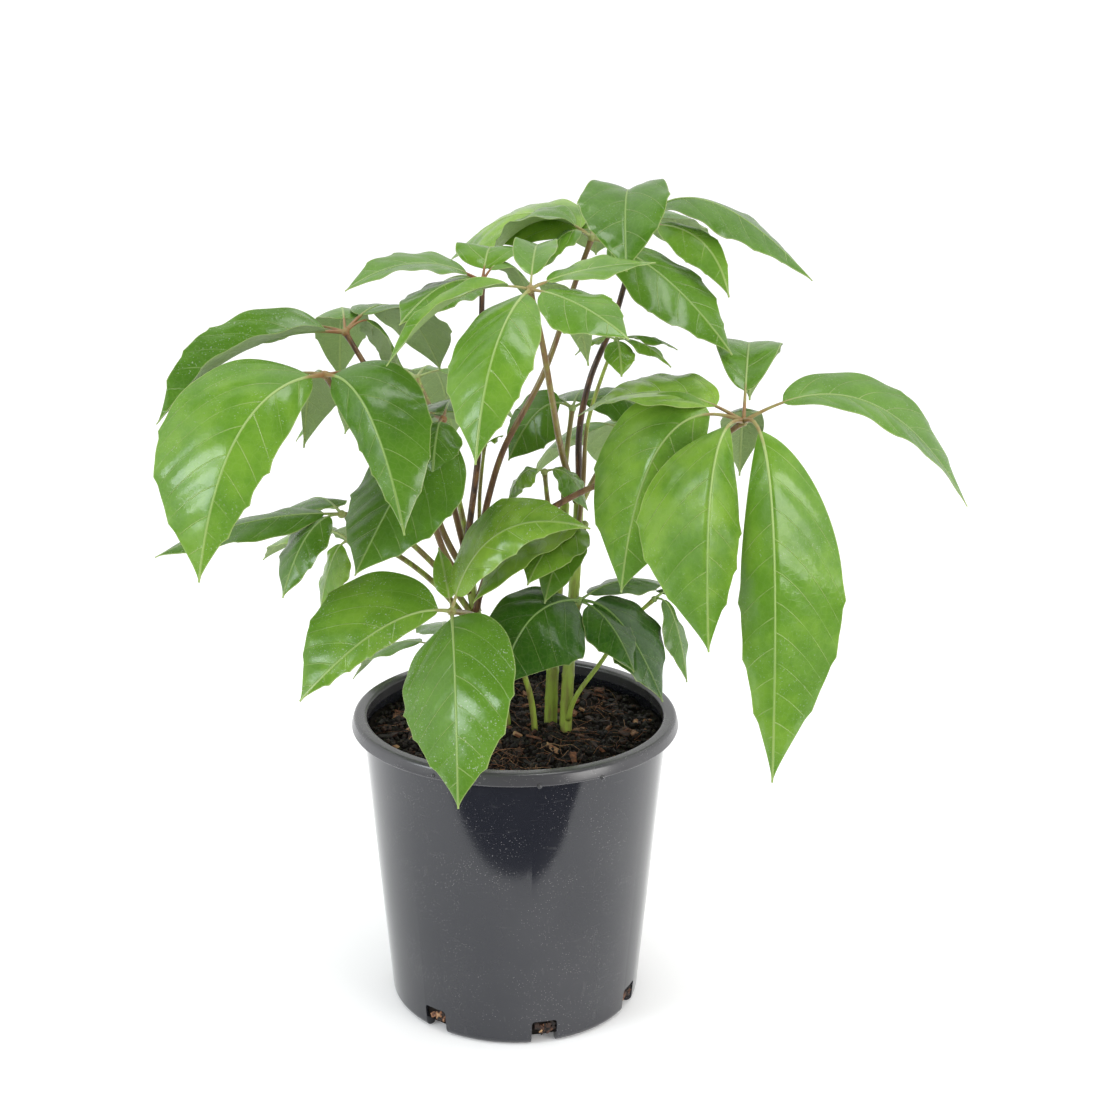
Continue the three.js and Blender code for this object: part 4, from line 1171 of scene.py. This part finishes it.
class POTTED_OT_pot(bpy.types.Operator):
    """Turns the pot from its section, cuts the drain notches and adds the moulding nubs."""

    bl_idname = "potted.pot"
    bl_label = "Nursery pot"

    def execute(self, context):
        pot = settings("tree_pot")
        bm = cut(turned(pot_outline(), pot.steps), notch_cutters())
        for edge in bm.edges:
            edge.smooth = edge.calc_face_angle(0) <= math.radians(SHARP_ANGLE)
        for turn, z, size in NUBS:
            angle = math.radians(turn - 90)
            radius = pot.rim_radius - NUB_SINK
            place = Matrix.Translation((radius * math.cos(angle), radius * math.sin(angle), z))
            bmesh.ops.create_icosphere(bm, subdivisions=2, radius=size, matrix=place)
        soften(bm.faces)
        bmesh.ops.scale(bm, verts=bm.verts, vec=(MM, MM, MM))
        piece("pot_shell", bm, [pot_plastic()], "pot")
        return {"FINISHED"}


def mix_height(x, y):
    """Height of the mix over the ground, with its coarse and fine waves."""
    mix = settings("tree_mix")
    coarse = math.sin(x * 0.083 + 1.1) * math.cos(y * 0.071 + 0.4)
    fine = math.sin(x * 0.21 + y * 0.17) * math.cos(y * 0.23 - x * 0.11)
    crumb = noise.fractal(Vector((x, y, 0)) * 0.16, 0.7, 2.1, 5)
    return mix.top + mix.bump * (0.55 * coarse + 0.45 * fine) + mix.crumb * 0.5 * crumb


def mix_radius():
    """Radius of the mix at its surface."""
    return body_radius(settings("tree_mix").top) - settings("tree_pot").wall


def mix_body():
    """The mix as one crumbly body that fills the pot."""
    mix = settings("tree_mix")
    inset = settings("tree_pot").wall + MIX_GAP
    outline = [(0, MIX_FOOT), (body_radius(FLOOR_TOP) - inset, MIX_FOOT)]
    levels = np.linspace(FLOOR_TOP, mix.top - MIX_EDGE, MIX_LEVELS)
    outline += [(body_radius(z) - inset, z) for z in levels]
    outline += [(mix_radius() * (1 - i / MIX_RINGS), mix.top) for i in range(MIX_RINGS + 1)]
    bm = turned(outline, MIX_STEPS)
    for vert in bm.verts:
        if vert.co.z > mix.top - 1:
            vert.co.z = mix_height(vert.co.x, vert.co.y)
    return mesh_of("mix_body", bm)


class Scatter:
    """Crumbs, chips and fibres strewn on the mix by one run of seeded draws."""

    def __init__(self, growth):
        self.growth = growth
        self.draw = np.random.default_rng(settings("tree_mix").seed)

    def spot(self, margin, rise):
        """A random place this far from the wall and this far over the mix."""
        radius = (mix_radius() - margin) * math.sqrt(self.draw.uniform())
        angle = self.draw.uniform(0, 2 * math.pi)
        x, y = radius * math.cos(angle), radius * math.sin(angle)
        return np.array((x, y, mix_height(x, y) + rise))

    def lump(self, mesh, place, size, turn, rough, seed, shade):
        """Adds a copy of a small mesh, scaled, turned and roughened by noise."""
        shaped = lumpy(mesh, rough, 2.3, (seed, 1.7, 0)) * size
        matrix = np.array(turn.to_matrix())
        self.growth.add(mesh, shaped @ matrix.T + place, 1, shade=shade)

    def crumb(self, number):
        draw = self.draw
        size = draw.uniform(*CRUMB_SIZE) * draw.uniform(0.7, 1.3, 3)
        turn = Euler(draw.uniform(0, TURN, 3))
        self.lump(ball(1), self.spot(WALL_MARGIN, 0.3), size, turn, 0.5, number, draw.uniform(0, 0.45))

    def chip(self, number):
        """Adds a chip. Each ninth is half as long again."""
        draw = self.draw
        length = draw.uniform(*CHIP_LENGTH) * (1.5 if number % 9 == 0 else 1)
        size = np.array((length, length * draw.uniform(0.3, 0.65), draw.uniform(*CHIP_THICKNESS)))
        turn = Euler((draw.normal(0, 0.35), draw.normal(0, 0.3), draw.uniform(0, TURN)))
        shade = draw.beta(1.5, 1.7)
        self.lump(chip(), self.spot(length / 2 + 2, 0.8), size, turn, 0.7, number, shade)

    def fibre(self, _):
        """Adds a fibre that wanders over the mix, unless the wall stops it early."""
        draw = self.draw
        line = [self.spot(14, 1.2)]
        length = draw.uniform(*FIBRE_LENGTH)
        heading = draw.uniform(0, TURN)
        for _ in range(FIBRE_BENDS):
            heading += draw.normal(0, 0.45)
            step = line[-1] + np.array((math.cos(heading), math.sin(heading), 0)) * length / FIBRE_BENDS
            if math.hypot(step[0], step[1]) > mix_radius() - WALL_MARGIN:
                break
            step[2] = mix_height(step[0], step[1]) + draw.uniform(0.6, 3)
            line.append(step)
        if len(line) > 2:
            radius = draw.uniform(*FIBRE_RADIUS)
            shade = draw.uniform(0.55, 1)

            def radius_at(share):
                return radius * (1 - 0.5 * share)

            self.growth.add_tube(through(line, 6), radius_at, 5, 12, 1, shade=shade)

    def bit(self, number):
        """Adds a bark bit that shows in one of the drain notches."""
        pot = settings("tree_pot")
        draw = self.draw
        turn = notch_turn(number)
        length = draw.uniform(*BIT_LENGTH)
        size = np.array((length, length * draw.uniform(0.4, 0.8), draw.uniform(*BIT_THICKNESS)))
        reach = (pot.notch_width - length) / 2
        z = draw.uniform(8, pot.notch_height - 3)
        across = draw.uniform(-reach, reach)
        place = Matrix.Rotation(turn, 3, "Z") @ Vector((across, pot.wall - body_radius(z), z))
        spin = Euler((math.pi / 2 + draw.normal(0, 0.2), draw.uniform(0, TURN / 2), turn))
        self.lump(chip(), np.array(place), size, spin, 0.7, number, draw.beta(1.5, 1.5))


class POTTED_OT_mix(bpy.types.Operator):
    """Makes the potting mix: a crumbly body, with crumbs, bark chips, fibres and bits."""

    bl_idname = "potted.mix"
    bl_label = "Potting mix"

    def execute(self, context):
        mix = settings("tree_mix")
        growth = Growth("shade")
        body = mix_body()
        growth.add(body, points_of(body), 0)
        bpy.data.meshes.remove(body)
        scatter = Scatter(growth)
        bits = settings("tree_pot").notches * mix.bits
        kinds = ((scatter.crumb, mix.crumbs), (scatter.chip, mix.chips), (scatter.fibre, mix.fibres))
        for add, count in (*kinds, (scatter.bit, bits)):
            for number in range(count):
                add(number)
        growth.finish("potting_mix", [mix_soil(), mix_bark()], "mix")
        return {"FINISHED"}


class POTTED_OT_stems(bpy.types.Operator):
    """Makes the three stems, with their leaf scars."""

    bl_idname = "potted.stems"
    bl_label = "Stems"

    def execute(self, context):
        skin = stem_skin("stem_skin", 0.32, 0.5)
        for key, (points, radii) in STEMS.items():
            line = through(points)
            scars = np.arange(SCAR_FIRST, line.length - SCAR_LAST, SCAR_STEP) / line.length
            rounding = STEM_TIP / line.length

            def radius_at(share):
                radius = np.interp(share, (0, 1), radii)
                for scar in scars:
                    past = (share - scar) * line.length / SCAR_WIDTH
                    radius = radius * (1 + SCAR_SWELL * np.exp(-(past**2)))
                tip = np.clip((share - (1 - rounding)) / rounding, 0, 1)
                return radius * np.sqrt(1 - 0.96 * tip**2)

            def bark(share):
                return 1 - smooth(share * line.length, *BARK_ENDS)

            growth = Growth("warmth", "bark")
            growth.add_tube(line, radius_at, 24, 110, warmth=0.1, bark=bark)
            growth.finish(f"stem_{key}", [skin], "stem")
        return {"FINISHED"}


class POTTED_OT_petioles(bpy.types.Operator):
    """Makes the petiole of each compound leaf, thicker at its foot and at its hub."""

    bl_idname = "potted.petioles"
    bl_label = "Petioles"

    def execute(self, context):
        skin = stem_skin("petiole_skin", 0.26, 0.42)
        for name, leaf in LEAVES.items():
            line = through(leaf.line)
            foot = FOOT_LENGTH / line.length
            head = HEAD_LENGTH / line.length

            def radius_at(share):
                swell = 1 + FOOT_SWELL * (1 - smooth(share, 0, foot))
                swell = swell + HEAD_SWELL * smooth(share, 1 - head, 1)
                return np.interp(share, (0, 1), leaf.thick) * swell

            def warmth(share):
                return np.interp(share, (0, 1), leaf.warmth)

            growth = Growth("warmth", "bark")
            rows = max(12, int(line.length / 4))
            growth.add_tube(line, radius_at, settings("tree_stem").sides, rows, warmth=warmth)
            growth.finish(f"petiole_{name}", [skin], "petiole")
        return {"FINISHED"}


class POTTED_OT_leaves(bpy.types.Operator):
    """Makes the compound leaves, each one piece with its hub, leaflet stalks and leaflets."""

    bl_idname = "potted.leaves"
    bl_label = "Leaves"

    def execute(self, context):
        finishes = [leaf_top(), leaf_under(), leaf_rib()]
        for place, (name, leaf) in enumerate(LEAVES.items()):
            growth = Growth("rib", "edge", "vein", "pitch", "tone", "dust", "warmth", "along")
            for number, leaflet in enumerate(leaf.leaflets):
                add_leaflet(growth, leaf, leaflet, 100 * place + number)
            hub = lumpy(ball(2), 0.12, 1.7, (place, 0, 0)) * (leaf.thick[1] * HUB_SWELL)
            growth.add(ball(2), hub + leaf.hub, 2, warmth=leaf.warmth[1], tone=0.4)
            growth.finish(f"leaf_{name}", finishes, "leaf")
        return {"FINISHED"}


def softbox(name, place, power, colour, size):
    """A square soft light on the tree that the camera doesn't see."""
    light = bpy.data.lights.new(name, "AREA")
    light.size = size
    light.energy = power
    light.color = colour
    obj = place_object(name, light)
    obj.location = place
    obj.rotation_euler = (Vector(TREE_MIDDLE) - Vector(place)).to_track_quat("-Z", "Y").to_euler()
    obj.visible_camera = False


def set_piece(name, bm, material):
    """A piece of the set round the tree."""
    obj = place_object(name, mesh_of(name, bm))
    obj.data.materials.append(material)
    return obj


def add_camera(look):
    """The camera at the photograph's place, level but for its pitch."""
    camera = bpy.data.cameras.new("camera")
    camera.lens = look.lens
    camera.sensor_width = 36
    camera.shift_x = look.shift
    view = place_object("camera", camera)
    view.location = look.camera
    view.rotation_euler = (math.pi / 2 - look.pitch, 0, 0)
    bpy.context.scene.camera = view


def add_room(edge):
    """A dark room from this edge of the floor back behind the camera, for the reflections alone."""
    bm = bmesh.new()
    section = [(edge, ROOM_LIFT), (-ROOM_REACH, ROOM_LIFT), (-ROOM_REACH, ROOM_HEIGHT)]
    section.append((ROOM_TOP_EDGE, ROOM_HEIGHT))
    verts = [bm.verts.new((-ROOM_REACH, y, z)) for y, z in section]
    edges = [bm.edges.new(pair) for pair in zip(verts, verts[1:])]
    wide = bmesh.ops.extrude_edge_only(bm, edges=edges)["geom"]
    bmesh.ops.translate(bm, verts=verts_of(wide), vec=(2 * ROOM_REACH, 0, 0))
    room = set_piece("dark_room", bm, matt_black())
    for kind in ("camera", "diffuse", "transmission", "shadow"):
        setattr(room, f"visible_{kind}", False)


class POTTED_OT_stage(bpy.types.Operator):
    """Sets up the camera, the pale floor and the soft lights."""

    bl_idname = "potted.stage"
    bl_label = "Stage"

    def execute(self, context):
        look = settings("tree_stage")
        context.scene.view_settings.view_transform = "Standard"
        add_camera(look)
        bm = bmesh.new()
        bmesh.ops.create_circle(bm, cap_ends=True, segments=96, radius=FLOOR_RADIUS)
        set_piece("floor", bm, floor_paper())
        add_room(look.edge)
        world = bpy.data.worlds.new("world")
        context.scene.world = world
        world.use_nodes = True
        background = world.node_tree.nodes["Background"].inputs
        background["Color"].default_value = (1, 1, 1, 1)
        background["Strength"].default_value = look.world
        softbox("right", (1.3, -1.1, 0.6), look.sides * 0.8, (1, 0.98, 0.95), 0.8)
        softbox("left", (-1.5, -0.9, 1.0), look.sides, (0.88, 0.95, 1), 0.7)
        softbox("overhead", (0.3, -0.2, 2.0), look.top, (1, 1, 1), 0.7)
        return {"FINISHED"}


class POTTED_PT_panel(bpy.types.Panel):
    """Sizes, colours and the operators, in the sidebar."""

    bl_idname = "POTTED_PT_panel"
    bl_label = "Umbrella tree"
    bl_space_type = "VIEW_3D"
    bl_region_type = "UI"
    bl_category = "Umbrella tree"

    def draw(self, context):
        for name, group in GROUPS.items():
            box = self.layout.box()
            for key in group.__annotations__:
                box.prop(getattr(context.scene, name), key)
        for operator in OPERATORS:
            self.layout.operator(operator.bl_idname)


GROUPS = {
    "tree_pot": PotSizes,
    "tree_mix": MixSizes,
    "tree_leaf": LeafLook,
    "tree_stem": StemLook,
    "tree_stage": StageLook,
}
OPERATORS = (
    POTTED_OT_stage,
    POTTED_OT_pot,
    POTTED_OT_mix,
    POTTED_OT_stems,
    POTTED_OT_petioles,
    POTTED_OT_leaves,
)


def register():
    for group in (*GROUPS.values(), *OPERATORS, POTTED_PT_panel):
        bpy.utils.register_class(group)
    for name, group in GROUPS.items():
        setattr(bpy.types.Scene, name, PointerProperty(type=group))


def unregister():
    for name in GROUPS:
        delattr(bpy.types.Scene, name)
    for group in (POTTED_PT_panel, *OPERATORS, *GROUPS.values()):
        bpy.utils.unregister_class(group)


def corners(box):
    """A box as plain lists of numbers."""
    return [list(corner) for corner in box]


def main():
    register()
    bpy.ops.potted.stage()
    bpy.ops.potted.pot()
    bpy.ops.potted.mix()
    bpy.ops.potted.stems()
    bpy.ops.potted.petioles()
    bpy.ops.potted.leaves()


if __name__ == "__main__":
    main()
